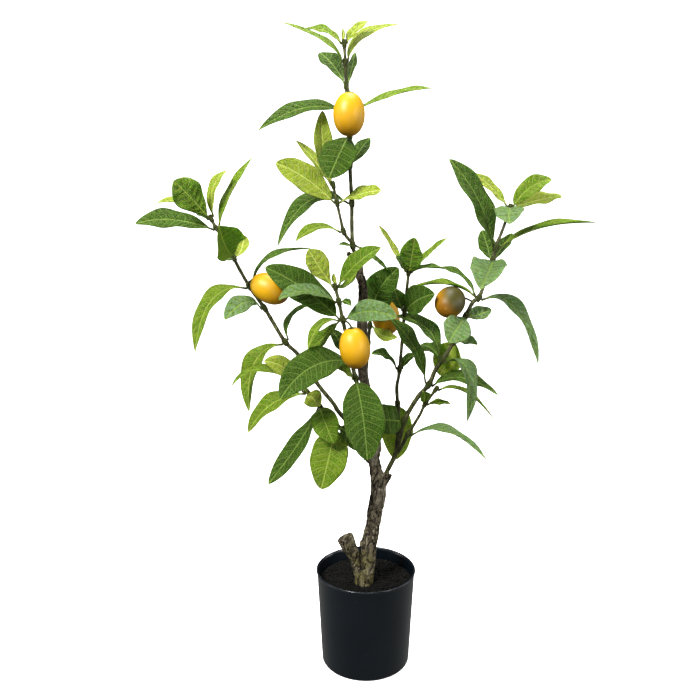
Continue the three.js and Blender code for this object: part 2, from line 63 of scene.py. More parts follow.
def soft_box(name, place, aim, size, power, tall=None):
    lamp = bpy.data.lights.new(name, "AREA")
    lamp.energy = power
    lamp.size = size
    if tall:
        lamp.shape = "RECTANGLE"
        lamp.size_y = tall
    light = bpy.data.objects.new(name, lamp)
    light.location = place
    light.rotation_euler = (Vector(aim) - Vector(place)).to_track_quat("-Z", "Y").to_euler()
    scene.collection.objects.link(light)


middle = (0, 0, 0.4)
soft_box("light_key", (-1.1, -1.2, 1.9), middle, 0.5, 88)
soft_box("light_fill", (1.6, -1.2, 1.0), middle, 0.6, 20)
soft_box("light_top", (0.2, 0.4, 2.2), middle, 0.8, 38)
soft_box("light_strip_left", (-1.2, -0.1, 0.45), (0, 0, 0.1), 0.22, 4, tall=1.1)
soft_box("light_strip_right", (1.2, 0.15, 0.45), (0, 0, 0.1), 0.25, 6, tall=1.1)
soft_box("light_low", (0.2, -1.9, 0.25), middle, 1.0, 9)

world = bpy.data.worlds.new("studio")
world.use_nodes = True
world.node_tree.nodes["Background"].inputs["Color"].default_value = (1, 1, 0.97, 1)
world.node_tree.nodes["Background"].inputs["Strength"].default_value = 0.28
scene.world = world

sheet_bend = [(-3.0, 0.0), (1.6, 0.0)]
for step in range(1, 13):
    turn = step / 12 * math.pi / 2
    sheet_bend.append((1.6 + 1.2 * math.sin(turn), 1.2 - 1.2 * math.cos(turn)))
sheet_bend.append((2.8, 4.0))
sheet_points = [(x, y, z) for y, z in sheet_bend for x in (-4.0, 4.0)]
sheet_faces = [(2 * k, 2 * k + 1, 2 * k + 3, 2 * k + 2) for k in range(len(sheet_bend) - 1)]
sheet_mesh = bpy.data.meshes.new("backdrop")
sheet_mesh.from_pydata(sheet_points, [], sheet_faces)
sheet_mesh.shade_smooth()
paper = bpy.data.materials.new("backdrop_paper")
paper.use_nodes = True
paper_shader = paper.node_tree.nodes["Principled BSDF"]
paper_shader.inputs["Base Color"].default_value = (0.93, 0.93, 0.93, 1)
paper_shader.inputs["Roughness"].default_value = 0.9
paper_shader.inputs["Emission Color"].default_value = (1, 1, 1, 1)
paper_shader.inputs["Emission Strength"].default_value = 0.75
sheet_mesh.materials.append(paper)
backdrop = bpy.data.objects.new("backdrop", sheet_mesh)
scene.collection.objects.link(backdrop)
backdrop.visible_diffuse = False
backdrop.visible_glossy = False


# ---------------------------------------------------------------- pot
# A thin nursery pot, injection moulded in charcoal plastic, with a small bead round its mouth.
# It carries the whole tree and stands on its flat foot.
MM = 0.001  # one millimetre, in the scene's metres


class Wire:
    """One output in a material's nodes. Arithmetic on it adds Math nodes."""

    def __init__(self, tree, socket=None):
        self.tree = tree
        self.socket = socket

    def node(self, kind, settings, sockets, output=0):
        """Adds a node: its settings first, then the values or links of its sockets."""
        made = self.tree.nodes.new(kind)
        for name, value in settings.items():
            if name == "stops":
                set_stops(made.color_ramp, value)
            else:
                setattr(made, name, value)
        for key, value in sockets.items():
            if isinstance(value, Wire):
                self.tree.links.new(value.socket, made.inputs[key])
            else:
                made.inputs[key].default_value = value
        return Wire(self.tree, made.outputs[output])

    def math(self, operation, *others):
        return self.node("ShaderNodeMath", {"operation": operation}, dict(enumerate((self, *others))))

    def __add__(self, other):
        return self.math("ADD", other)

    def __sub__(self, other):
        return self.math("SUBTRACT", other)

    def __rsub__(self, other):
        return self.node("ShaderNodeMath", {"operation": "SUBTRACT"}, {0: other, 1: self})

    def __mul__(self, other):
        return self.math("MULTIPLY", other)

    def __pow__(self, other):
        return self.math("POWER", other)

    __radd__ = __add__
    __rmul__ = __mul__

    def rise(self, low, high):
        """0 below low, 1 above high, and smooth between."""
        return self.node(
            "ShaderNodeMapRange",
            {"interpolation_type": "SMOOTHSTEP"},
            {"Value": self, "From Min": low, "From Max": high},
        )

    def mix(self, share, other, blend="MIX"):
        """This colour, with a share of another laid over it."""
        return self.node(
            "ShaderNodeMix", {"data_type": "RGBA", "blend_type": blend}, {0: share, 6: self, 7: other}, 2
        )

    def ramp(self, *stops):
        return self.node("ShaderNodeValToRGB", {"stops": stops}, {"Fac": self})

    def noise(self, where, scale, detail=3, rough=0.55):
        sockets = {"Vector": where, "Scale": scale, "Detail": detail, "Roughness": rough}
        return self.node("ShaderNodeTexNoise", {}, sockets)

    def cells(self, where, scale, feature="F1"):
        sockets = {"Vector": where, "Scale": scale}
        return self.node("ShaderNodeTexVoronoi", {"feature": feature}, sockets)

    def place(self):
        return self.node("ShaderNodeTexCoord", {}, {}, "Object")

    def stretched(self, where, scale):
        return self.node("ShaderNodeVectorMath", {"operation": "MULTIPLY"}, {0: where, 1: scale})

    def painted(self, name, output="Fac"):
        return self.node("ShaderNodeAttribute", {"attribute_name": name}, {}, output)

    def split(self):
        parts = self.node("ShaderNodeSeparateXYZ", {}, {"Vector": self})
        outputs = parts.socket.node.outputs
        return [Wire(self.tree, outputs[k]) for k in range(3)]

    def bump(self, height, depth, strength=1.0):
        return self.node("ShaderNodeBump", {}, {"Height": height, "Distance": depth, "Strength": strength})


def set_stops(ramp, stops):
    for k, (place, colour) in enumerate(stops):
        stop = ramp.elements[k] if k < 2 else ramp.elements.new(place)
        stop.position = place
        stop.color = (*colour, 1)


def finish(name, constants, paint):
    """A material: constants sit on the shader's own sockets, and paint gives what varies over the surface."""
    material = bpy.data.materials.new(name)
    material.use_nodes = True
    tree = material.node_tree
    shader = tree.nodes["Principled BSDF"]
    for socket, value in constants.items():
        shader.inputs[socket].default_value = value
    for socket, wire in paint(Wire(tree)).items():
        tree.links.new(wire.socket, shader.inputs[socket])
    return material


def piece(name, points, faces, material, slot, replaces=(), paints=None):
    """A new mesh on the tree. paints holds a vector for each point, by name."""
    mesh = bpy.data.meshes.new(name)
    mesh.from_pydata(np.asarray(points).tolist(), [], faces)
    for label, values in (paints or {}).items():
        layer = mesh.attributes.new(label, "FLOAT_VECTOR", "POINT")
        layer.data.foreach_set("vector", np.asarray(values, dtype=np.float32).ravel())
    mesh.shade_smooth()
    mesh.materials.append(material)
    made = bpy.data.objects.new(name, mesh)
    scene.collection.objects.link(made)
    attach(made, "root")
    for node in replaces:
        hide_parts(node)
    return made


def turned(outline, sides):
    """A closed form turned about Z from an outline that starts and ends on the axis."""
    rings = np.array(outline[1:-1])
    angles = np.arange(sides) * 2 * math.pi / sides
    across = rings[:, None, :1] * np.stack([np.cos(angles), np.sin(angles)], axis=-1)[None]
    heights = np.repeat(rings[:, None, 1:], sides, axis=1)
    points = np.concatenate([across, heights], axis=-1).reshape(-1, 3)
    first, last = len(points), len(points) + 1
    points = np.vstack([points, [0, 0, outline[0][1]], [0, 0, outline[-1][1]]])
    end = (len(rings) - 1) * sides
    faces = []
    for k in range(sides):
        after = (k + 1) % sides
        faces.append((first, after, k))
        faces.append((last, end + k, end + after))
        for ring in range(0, end, sides):
            faces.append((ring + k, ring + after, ring + sides + after, ring + sides + k))
    return points, faces


def arc(centre, radius, start, stop, steps):
    """Points on a round stretch of an outline, from one angle to another in degrees."""
    angles = [math.radians(start + (stop - start) * k / steps) for k in range(steps + 1)]
    return [(centre[0] + radius * math.cos(a), centre[1] + radius * math.sin(a)) for a in angles]


pot_low, pot_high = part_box("pot")
pot_height = pot_high[2]
rim_radius = (pot_high[0] - pot_low[0]) / 2
bead = 1.1 * MM
pot_wall = 2.0 * MM
foot_radius = 53 * MM
foot_edge = 4 * MM
body_top = rim_radius - 1.0 * MM


def pot_outline():
    top = pot_height - bead
    outer_edge = arc((foot_radius - foot_edge, foot_edge), foot_edge, -90, -4, 8)
    lip = arc((body_top, top), bead, -60, 150, 10)
    inner_edge = arc((foot_radius - foot_edge - pot_wall, foot_edge + pot_wall), foot_edge, -4, -90, 6)
    walls = [(body_top - 0.1 * MM, top - 2.6 * bead)]
    inside = [(body_top - pot_wall, top - 2 * bead)]
    return [(0, 0), *outer_edge, *walls, *lip, *inside, *inner_edge, (0, pot_wall)]


def pot_paint(start):
    where = start.place()
    grain = start.noise(where, 900, 2)
    drift = start.noise(where, 22, 3)
    dust = 1 - start.cells(where, 260).rise(0.03, 0.09)
    dust = dust * start.noise(where, 60).rise(0.56, 0.62)
    scuffs = start.noise(start.stretched(where, (300, 300, 14)), 1, 3).rise(0.6, 0.75)
    colour = drift.ramp((0.3, (0.0006, 0.0030, 0.0056)), (0.7, (0.0014, 0.0048, 0.0082)))
    return {
        "Base Color": colour.mix(dust * 0.6, (0.2, 0.2, 0.19, 1)),
        "Roughness": 0.24 + drift * 0.1 + scuffs * 0.06 + dust * 0.2,
        "Normal": start.bump(grain + drift * 2, 0.00012, 0.5),
    }


pot_plastic = finish("pot_plastic", {"Specular IOR Level": 0.5}, pot_paint)
piece("pot_shell", *turned(pot_outline(), 160), pot_plastic, "pot_shell", ["pot"])

# ---------------------------------------------------------------- soil
# Black potting mix: a bed that is a little higher round the trunk, with loose crumbs, bits of bark
# and a few pale grains on it. It fills the pot from its floor.
soil_low, soil_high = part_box("soil")
soil_radius = (soil_high[0] - soil_low[0]) / 2
soil_top = soil_high[2] - 2 * MM
crumb_draw = np.random.default_rng(11)


def soil_height(x, y):
    """The bed's surface: a low crown at the trunk and an uneven face."""
    share = min(math.hypot(x, y) / soil_radius, 1)
    lumps = noise.fractal(Vector((x * 70, y * 70, 3)), 1.0, 2.0, 4) * 1.3 * MM
    return soil_top + 2.2 * MM * (1 - share) ** 0.7 - 0.4 * MM + lumps * (1 - share ** 8)


def soil_bed():
    rings, sides = 46, 150
    points = []
    for ring in range(1, rings + 1):
        radius = soil_radius * ring / rings
        for k in range(sides):
            x = radius * math.cos(2 * math.pi * k / sides)
            y = radius * math.sin(2 * math.pi * k / sides)
            points.append((x, y, soil_height(x, y)))
    lower = [
        (soil_radius, soil_top - 20 * MM), (foot_radius - 2.6 * MM, 8 * MM),
        (foot_radius - 7 * MM, 3 * MM),
    ]
    for radius, height in lower:
        for k in range(sides):
            x = radius * math.cos(2 * math.pi * k / sides)
            points.append((x, radius * math.sin(2 * math.pi * k / sides), height))
    total = rings + len(lower)
    faces = []
    for ring in range(total - 1):
        for k in range(sides):
            a, b = ring * sides + k, ring * sides + (k + 1) % sides
            faces.append((a, a + sides, b + sides, b))
    points += [(0, 0, soil_height(0, 0)), (0, 0, 3 * MM)]
    crown, floor = total * sides, total * sides + 1
    for k in range(sides):
        after = (k + 1) % sides
        faces.append((crown, k, after))
        faces.append((floor, (total - 1) * sides + after, (total - 1) * sides + k))
    return points, faces


CRUMB_CORNERS = np.array([
    (0, 0, 1), (0.89, 0, 0.45), (0.28, 0.85, 0.45), (-0.72, 0.53, 0.45), (-0.72, -0.53, 0.45),
    (0.28, -0.85, 0.45), (0.72, 0.53, -0.45), (-0.28, 0.85, -0.45), (-0.89, 0, -0.45),
    (-0.28, -0.85, -0.45), (0.72, -0.53, -0.45), (0, 0, -1),
])
CRUMB_FACES = [
    (0, 1, 2), (0, 2, 3), (0, 3, 4), (0, 4, 5), (0, 5, 1), (1, 6, 2), (2, 6, 7), (2, 7, 3), (3, 7, 8),
    (3, 8, 4), (4, 8, 9), (4, 9, 5), (5, 9, 10), (5, 10, 1), (1, 10, 6), (11, 7, 6), (11, 8, 7),
    (11, 9, 8), (11, 10, 9), (11, 6, 10),
]


def soil_crumbs(count):
    """Angular crumbs from 1 to 4 mm across, scattered evenly over the bed."""
    points, faces, shades = [], [], []
    for _ in range(count):
        radius = (soil_radius - 2.5 * MM) * math.sqrt(crumb_draw.uniform(0.03, 1))
        angle = crumb_draw.uniform(0, 2 * math.pi)
        size = (0.45 + 1.5 * crumb_draw.random() ** 2.5) * MM
        x, y = radius * math.cos(angle), radius * math.sin(angle)
        knobs, squash = crumb_draw.uniform(0.55, 1.2, (12, 3)), crumb_draw.uniform(0.6, 1.5, 3)
        shape = CRUMB_CORNERS * knobs * squash * size
        turn = crumb_draw.uniform(0, 2 * math.pi)
        spun = np.stack([
            shape[:, 0] * math.cos(turn) - shape[:, 1] * math.sin(turn),
            shape[:, 0] * math.sin(turn) + shape[:, 1] * math.cos(turn),
            shape[:, 2],
        ], axis=-1)
        faces += [tuple(12 * (len(points)) + np.array(face)) for face in CRUMB_FACES]
        points.append(spun + (x, y, soil_height(x, y) + size * 0.3))
        shades.append(np.tile((crumb_draw.random(), 0, 0), (12, 1)))
    return np.vstack(points), [tuple(int(v) for v in face) for face in faces], {"shade": np.vstack(shades)}


def soil_paint(start):
    where = start.place()
    clods = start.noise(where, 320, 5, 0.7)
    damp = start.noise(where, 40, 2)
    shade = start.painted("shade")
    grit = shade.rise(0.975, 0.985)
    colour = clods.ramp(
        (0.35, (0.0012, 0.0011, 0.0008)), (0.62, (0.0065, 0.0062, 0.0050)),
        (0.8, (0.030, 0.028, 0.022)),
    )
    colour = colour.mix(shade.rise(0.45, 0.85) * 0.9, (0.085, 0.080, 0.062, 1))
    return {
        "Base Color": colour.mix(grit, (0.36, 0.34, 0.28, 1)),
        "Roughness": 0.72 + damp * 0.25,
        "Normal": start.bump(clods, 0.0012),
    }


potting_mix = finish("potting_mix", {"Specular IOR Level": 0.2}, soil_paint)
piece("soil_bed", *soil_bed(), potting_mix, "potting_soil", ["soil"])
crumb_points, crumb_faces, crumb_paints = soil_crumbs(2600)
crumbs = piece("soil_crumbs", crumb_points, crumb_faces, potting_mix, "potting_soil", (), crumb_paints)
crumbs.data.shade_flat()

# ---------------------------------------------------------------- trunk
# One crooked stem, moulded with bark all over: long cracks, plates between them, cut stubs and knots.
# Its foot stands deep in the soil, and the boughs are set in sockets in it.
trunk_radii = [10, 11, 10.6, 8.6, 9.2, 8.4, 8.7, 9, 8.6, 7.8, 6.4, 6.2, 5.6, 5.1, 5, 4.8, 4.6, 3.9]
trunk_joints = [
    (-2, -12, 34), (-2, -12, 81), (-2, -12, 106), (4, -9, 155), (5, -8, 163), (8, -6, 180),
    (10, -3, 197), (13, 0, 209), (15, 0, 222), (11, 0, 246), (9, 0, 261), (11, 0, 277), (3, 1, 325),
    (-4, 1, 365), (-5, 1, 410), (-4, 0, 459), (-8, 0, 477), (-13, 0, 500),
]
trunk_stubs = [
    ([(-3, -12, 106), (-13, -13, 139), (-25, -14, 167)], [6.5, 6.8, 9.6]),
    ([(-16, -13, 150), (-27, -14, 151)], [5, 3.4]),
    ([(15, 0, 220), (26, -3, 242)], [5, 4.7]),
    ([(9, 0, 252), (-2, -7, 263)], [3, 2.4]),
    ([(4, -9, 155), (-7, -11, 158)], [6, 3.6]),
    ([(-13, 0, 494), (-21, -3, 501)], [3.4, 2.6]),
    ([(-13, 0, 495), (-8, 3, 502)], [3, 2.4]),
]


def smooth_route(joints, radii, step):
    """A round path through the joints, with the thickness at each point of it."""
    route = np.array(joints, dtype=float) * MM
    padded = np.vstack([2 * route[0] - route[1], route, 2 * route[-1] - route[-2]])
    points = []
    for k in range(1, len(padded) - 2):
        a, b, c, d = padded[k - 1:k + 3]
        pieces = max(2, round(np.linalg.norm(c - b) / step))
        for t in np.arange(pieces) / pieces:
            points.append(0.5 * (2 * b + (c - a) * t + (2 * a - 5 * b + 4 * c - d) * t * t
                                 + (3 * b - a - 3 * c + d) * t ** 3))
    points = np.array(points + [route[-1]])
    knots = np.linspace(0, 1, len(radii))
    joint_shares = np.linspace(0, 1, len(joints))
    joint_radii = np.interp(joint_shares, knots, radii) * MM
    spans = np.concatenate([[0], np.cumsum(np.linalg.norm(np.diff(points, axis=0), axis=1))])
    joint_spans = [spans[np.argmin(np.linalg.norm(points - joint, axis=1))] for joint in route]
    return points, np.interp(spans, joint_spans, joint_radii), np.array(joint_spans), spans


def tube(points, radii, sides):
    """A closed round tube along a path. Gives its points, its faces and, for each point, the path's step."""
    along = np.gradient(points, axis=0)
    along /= np.linalg.norm(along, axis=1)[:, None]
    across = np.array([1.0, 0.0, 0.0])
    rings = []
    angles = np.arange(sides) * 2 * math.pi / sides
    for centre, way, radius in zip(points, along, radii):
        across = across - way * across.dot(way)
        across /= np.linalg.norm(across)
        other = np.cross(way, across)
        rings.append(centre + radius * (np.cos(angles)[:, None] * across + np.sin(angles)[:, None] * other))
    steps = np.repeat(np.arange(len(points)), sides)
    faces = [tuple(range(sides))[::-1]]
    for ring in range(len(points) - 1):
        for k in range(sides):
            a, b = ring * sides + k, ring * sides + (k + 1) % sides
            faces.append((a, b, b + sides, a + sides))
    last = (len(points) - 1) * sides
    faces.append(tuple(last + k for k in range(sides)))
    return np.vstack(rings), faces, steps


def joined(parts):
    """The points and the faces of several tubes, as one list of each."""
    points, faces = [], []
    for part_points, part_faces, _ in parts:
        offset = sum(len(p) for p in points)
        points.append(part_points)
        faces += [tuple(offset + v for v in face) for face in part_faces]
    return np.vstack(points), faces


def fused(parts, voxel):
    """One skin over several tubes that run into each other."""
    points, faces = joined(parts)
    mesh = bpy.data.meshes.new("fused")
    mesh.from_pydata(points.tolist(), [], faces)
    holder = bpy.data.objects.new("fused", mesh)
    scene.collection.objects.link(holder)
    remesh = holder.modifiers.new("skin", "REMESH")
    remesh.mode = "VOXEL"
    remesh.voxel_size = voxel
    rounding = holder.modifiers.new("rounding", "SMOOTH")
    rounding.iterations = 4
    made = bpy.data.meshes.new_from_object(holder.evaluated_get(bpy.context.evaluated_depsgraph_get()))
    bpy.data.objects.remove(holder)
    count = len(made.vertices)
    skin_points, normals = np.empty(count * 3), np.empty(count * 3)
    made.vertices.foreach_get("co", skin_points)
    made.vertex_normals.foreach_get("vector", normals)
    skin_faces = [tuple(polygon.vertices) for polygon in made.polygons]
    return skin_points.reshape(-1, 3), normals.reshape(-1, 3), skin_faces


def bark(points, normals):
    """Pushes a smooth skin out into flutes and in along cracks. Gives the points and their depths."""
    moved, depths = [], []
    for point, normal in zip(points, normals):
        x, y, z = point
        lump = noise.fractal(Vector((x * 60, y * 60, z * 22)), 1.0, 2.0, 3)
        flute = noise.noise(Vector((x * 130 + 4, y * 130, z * 16 + lump)))
        seam = abs(noise.noise(Vector((x * 210 + lump * 2, y * 210, z * 30))))
        pits = abs(noise.noise(Vector((x * 420 + 9, y * 420, z * 200))))
        where = noise.noise(Vector((x * 50, y * 50, z * 45 + 7)))
        crack = (1 - min(seam * 7, 1)) * min(max(where * 4 + 0.9, 0), 1)
        pit = (1 - min(pits * 4, 1)) * min(max(0.8 - where * 3, 0), 1)
        moved.append(point + normal * (lump * 1.3 + flute * 1.2 - crack * 1.6 - pit * 0.7 + 0.4) * MM)
        depths.append((crack, pit, lump + flute))
    return np.array(moved), np.array(depths)


def trunk_paint(start):
    where = start.place()
    crack, pit, lump = start.painted("bark", "Vector").split()
    height = where.split()[2]
    fibres = start.noise(start.stretched(where, (520, 520, 70)), 1, 5, 0.7)
    blotches = start.noise(where, 48, 5, 0.6)
    ridge = fibres.ramp(
        (0.28, (0.030, 0.024, 0.014)), (0.5, (0.105, 0.088, 0.056)), (0.74, (0.25, 0.225, 0.165)),
    )
    moss = (1 - height.rise(0.12, 0.20)) * blotches.rise(0.42, 0.6)
    colour = ridge.mix(blotches.rise(0.46, 0.6) * 0.8, (0.042, 0.032, 0.018, 1))
    colour = colour.mix(lump.rise(0.1, 0.9) * fibres.rise(0.4, 0.6) * 0.4, (0.33, 0.31, 0.25, 1))
    colour = colour.mix(moss * 0.6, (0.12, 0.115, 0.030, 1))
    chips = start.noise(where, 150, 4, 0.6).rise(0.50, 0.58)
    low = 1 - height.rise(0.15, 0.26)
    colour = colour.mix(chips * (0.3 + low * 0.6), (0.024, 0.018, 0.010, 1))
    colour = colour.mix((1 - height.rise(0.116, 0.128)) * fibres.rise(0.45, 0.6) * 0.7, (0.17, 0.15, 0.05, 1))
    # Painted shade: the cracks and pits are darkened almost to black, less where the bark lumps out.
    painted_crack_shade = (crack + pit * 0.6 - lump * 0.4).rise(0.15, 0.8)
    return {
        "Base Color": colour.mix(painted_crack_shade * 0.92, (0.010, 0.008, 0.005, 1)),
        "Roughness": 0.62 + painted_crack_shade * 0.3 - lump * 0.08,
        "Normal": start.bump(fibres - painted_crack_shade - chips * 0.5, 0.0014),
    }


trunk_parts = [tube(*smooth_route(trunk_joints, trunk_radii, 4 * MM)[:2], 28)]
for stub_joints, stub_radii in trunk_stubs:
    trunk_parts.append(tube(*smooth_route(stub_joints, stub_radii, 3 * MM)[:2], 22))
trunk_skin, trunk_normals, trunk_faces = fused(trunk_parts, 1.0 * MM)
trunk_points, trunk_cracks = bark(trunk_skin, trunk_normals)
moulded_bark = finish("moulded_bark", {"Specular IOR Level": 0.3}, trunk_paint)
piece("trunk_bark", trunk_points, trunk_faces, moulded_bark, "trunk_bark", ["trunk"], {"bark": trunk_cracks})

# ---------------------------------------------------------------- leader
# The thin upright stem on top of the trunk, with a side shoot. Like every bough it is a wire with
# a skin of olive-brown plastic, and rings of cloth leaves are slid on to it and held by friction.
leader_radii = [2.2, 2.1, 2, 1.8, 1.5]
leader_joints = [
    (-10, 0, 484), (-13, 0, 497), (-16, 0, 509), (-17, 0, 531), (-17, 0, 555), (-18, 0, 574),
    (-19, 0, 596), (-19, 2, 627), (-21, 3, 651), (-23, 2, 678), (-24, 0, 701), (-25, 0, 720),
]
side_shoot_radii = [1.8, 1.6, 1.4]
side_shoot_joints = [
    (-17, -1, 512), (-22, -5, 518), (-26, -7, 525), (-30, -9, 542), (-33, -10, 556), (-37, -12, 575),
]
leader_fruit = {"name": "fruit_top", "at": 9, "centre": (-20, -20, 648), "points": (0, -0.1, -1)}


def stem_tube(joints, radii, rings):
    """A stem with a slight swelling at each ring of leaves and an uneven skin."""
    points, thickness, joint_spans, spans = smooth_route(joints, radii, 2.5 * MM)
    swell = np.zeros(len(points))
    for at in rings:
        swell += 0.45 * MM * np.exp(-((spans - joint_spans[at]) / (4 * MM)) ** 2)
    uneven = np.array([noise.noise(Vector(point) * 190) for point in points]) * 0.28 * MM
    return tube(points, thickness + swell + uneven, 14)


def stalk_tube(joints, fruit):
    """The short stalk from a bough to the top of a fruit."""
    root = np.array(joints[fruit["at"]]) * MM
    centre = np.array(fruit["centre"]) * MM
    out = -np.array(fruit["points"], dtype=float)
    out /= np.linalg.norm(out)
    neck = centre + out * (fruit_half + 5 * MM)
    end = centre + out * (fruit_half - 2.2 * MM)
    blend = np.linspace(0, 1, 12)[:, None]
    points = (1 - blend) ** 2 * root + 2 * blend * (1 - blend) * neck + blend ** 2 * end
    radii = np.interp(blend[:, 0], [0, 0.8, 1], [1.1 * MM, 1.0 * MM, 1.7 * MM])
    return tube(points, radii, 10)


def stem_paint(start):
    where = start.place()
    streaks = start.noise(start.stretched(where, (500, 500, 160)), 1, 4, 0.65)
    patches = start.noise(where, 55, 3)
    warts = 1 - start.cells(where, 420).rise(0.1, 0.32)
    colour = streaks.ramp(
        (0.28, (0.007, 0.007, 0.002)), (0.5, (0.034, 0.034, 0.010)), (0.74, (0.135, 0.140, 0.050)),
    )
    colour = colour.mix(patches.rise(0.45, 0.65) * 0.5, (0.075, 0.085, 0.03, 1))
    return {
        "Base Color": colour.mix(warts * streaks.rise(0.5, 0.6) * 0.5, (0.30, 0.29, 0.20, 1)),
        "Roughness": 0.5 + streaks * 0.25,
        "Normal": start.bump(streaks + warts * 0.6, 0.0005),
    }


stem_skin = finish("stem_skin", {"Specular IOR Level": 0.28}, stem_paint)


def grow_bough(name, shoots, fruits):
    """The stems of one bough, with its forks and the stalks of its fruits, as one piece."""
    parts = []
    for joints, radii, rings in shoots:
        parts.append(stem_tube(joints, radii, rings))
    for fruit in fruits:
        parts.append(stalk_tube(shoots[0][0], fruit))
    piece(f"{name}_stem", *joined(parts), stem_skin, "stem_skin", [name])


# Leaves: cloth, cut and heat-pressed with a midrib, side veins and a cupped face, on a moulded stalk
BLADE_STEPS = 64
BLADE_HALF = 9
# The last tone in this table is a painted sheen: its leaves get a pale blue-green reflection painted into
# their colour. The other tones are the leaves' own greens.
TONES = {"mature": (0.0, 0), "bright": (0.42, 0), "mid": (0.58, 0), "young": (1.0, 0), "frosted": (0.1, 1)}


def leaf(tone, width, tip, via, face=(0, 0, 1), shape="oval", fold=0.3):
    return {"tone": tone, "width": width, "tip": tip, "via": via, "face": face, "shape": shape, "fold": fold}


def spread(shape, t):
    """How wide a leaf is along its length, as a share of its widest."""
    bare = np.clip((t - 0.06) / 0.94, 0, 1)
    power, round_off = {"oval": (1.05, 0.75), "spoon": (1.5, 0.7), "blunt": (0.97, 0.62)}[shape]
    return np.clip(np.sin(math.pi * bare ** power), 0, 1) ** round_off


def unit(vectors):
    return vectors / np.linalg.norm(vectors, axis=-1, keepdims=True)


def blade(joint, row, outward, draw):
    """One leaf: a closed thin sheet, bowed along its rib, with pressed veins and a wavy margin."""
    t = np.linspace(0, 1, BLADE_STEPS)[:, None]
    start = joint + outward
    tip = joint + np.array(row["tip"]) * MM
    middle = joint + np.array(row["via"]) * MM
    control = 2 * middle - (start + tip) / 2
    rib = (1 - t) ** 2 * start + 2 * t * (1 - t) * control + t ** 2 * tip
    along = unit(2 * (1 - t) * (control - start) + 2 * t * (tip - control))
    across = unit(np.cross(tip - start, row["face"]))
    side = unit(across - along * (along @ across)[:, None])
    up = np.cross(side, along)
    length = np.linalg.norm(np.diff(rib, axis=0), axis=1).sum()
    phase, wave, curl = draw.uniform(0, 1), draw.uniform(0.5, 1.3), draw.uniform(-0.05, 0.16)
    stalk = 1.1 * MM * (1 - np.clip(t / 0.35, 0, 1))
    age, frost = TONES[row["tone"]]
    half = np.maximum(row["width"] / 2 * MM * spread(row["shape"], t), np.maximum(stalk, 0.15 * MM))
    half = half * (1 + 0.02 * np.sin(2 * math.pi * (3 * t + phase)))
    s = np.linspace(-1, 1, 2 * BLADE_HALF + 1)[None, :]
    away = np.abs(s)
    veins = np.clip(round(length / (7.5 * MM)), 5, 13)
    vein_phase = veins * (t - 0.13 * away ** 1.2) + phase
    pillow = np.abs(np.sin(math.pi * vein_phase)) ** 0.8
    open_face = np.clip(t * 8, 0, 1) * np.clip((1 - t) * 8, 0, 1) * np.clip(half / (6 * MM), 0.15, 1)
    lift = row["fold"] * half * away ** 1.25 - curl * half * away ** 3
    swell = (1.35 - 0.5 * age) * MM * (1 - away ** 4) * np.clip(away * 5, 0, 1)
    lift = lift + (pillow - 0.6) * swell * open_face
    lift = lift + 0.13 * wave * half * away ** 2 * np.sin(2 * math.pi * (2.2 * t + phase + 0.25 * np.sign(s)))
    lift = lift - 0.55 * MM * np.exp(-((half * s) / (0.7 * MM)) ** 2) * open_face
    thick = 0.45 * MM + 1.1 * MM * np.exp(-(t / 0.09) ** 2)
    ridge = 0.6 * MM * np.exp(-((half * s) / (0.8 * MM)) ** 2) * (1 - 0.7 * t)
    flat = rib[:, None] + (half * s)[..., None] * side[:, None]
    top = flat + lift[..., None] * up[:, None]
    below = flat + (lift - (thick + ridge) * (1 - away ** 6))[..., None] * up[:, None]
    everywhere = 0 * (t + s)
    leaf_chance = frost + 0.9 * draw.random()
    paints = {
        "vein": np.stack([vein_phase + 0 * s, away + 0 * t, t + 0 * s], axis=-1),
        "skin": np.stack([t * length / MM + 0 * s, half * s / MM, 0 * t + 0 * s + 40 * phase + 7], axis=-1),
        "tone": np.stack([everywhere + age, everywhere, everywhere + leaf_chance], axis=-1),
    }
    under = {name: values.copy() for name, values in paints.items()}
    under["tone"][..., 1] = 1
    return close_sheet(top, below[:, 1:-1], paints, under)


def close_sheet(top, below, paints, under):
    """Joins an upper and a lower grid that share their side edges into one closed skin."""
    steps, wide = top.shape[:2]
    upper = np.arange(steps * wide).reshape(steps, wide)
    lower = np.empty((steps, wide), dtype=int)
    lower[:, 0], lower[:, -1] = upper[:, 0], upper[:, -1]
    lower[:, 1:-1] = steps * wide + np.arange(steps * (wide - 2)).reshape(steps, wide - 2)
    faces = []
    for grid, flip in ((upper, False), (lower, True)):
        a, b, c, d = grid[:-1, :-1], grid[1:, :-1], grid[1:, 1:], grid[:-1, 1:]
        quads = np.stack([a, d, c, b] if flip else [a, b, c, d], axis=-1).reshape(-1, 4)
        faces += [tuple(face) for face in quads.tolist()]
    for row, flip in ((0, False), (steps - 1, True)):
        rim = [*upper[row].tolist(), *lower[row, 1:-1][::-1].tolist()]
        faces.append(tuple(rim[::-1] if flip else rim))
    points = np.vstack([top.reshape(-1, 3), below.reshape(-1, 3)])
    joined_paints = {
        name: np.vstack([paints[name].reshape(-1, 3), under[name][:, 1:-1].reshape(-1, 3)]) for name in paints
    }
    return points, faces, joined_paints


def sleeve(centre, way, radius):
    """The short moulded sleeve that the leaves of one ring grow from."""
    spans = np.array([-4.2, -3.9, -2, 0, 2.4, 3.9, 4.2]) * MM
    radii = radius + np.array([-0.5, 0.0, 0.2, 0.4, 0.3, 0.0, -0.5]) * MM
    points, faces, _ = tube(centre + spans[:, None] * way, radii, 16)
    count = len(points)
    paints = {
        "vein": np.tile((0.5, 0.1, -1.0), (count, 1)),
        "skin": points / MM,
        "tone": np.tile((0.0, 0.0, 0.5), (count, 1)),
    }
    return points, faces, paints


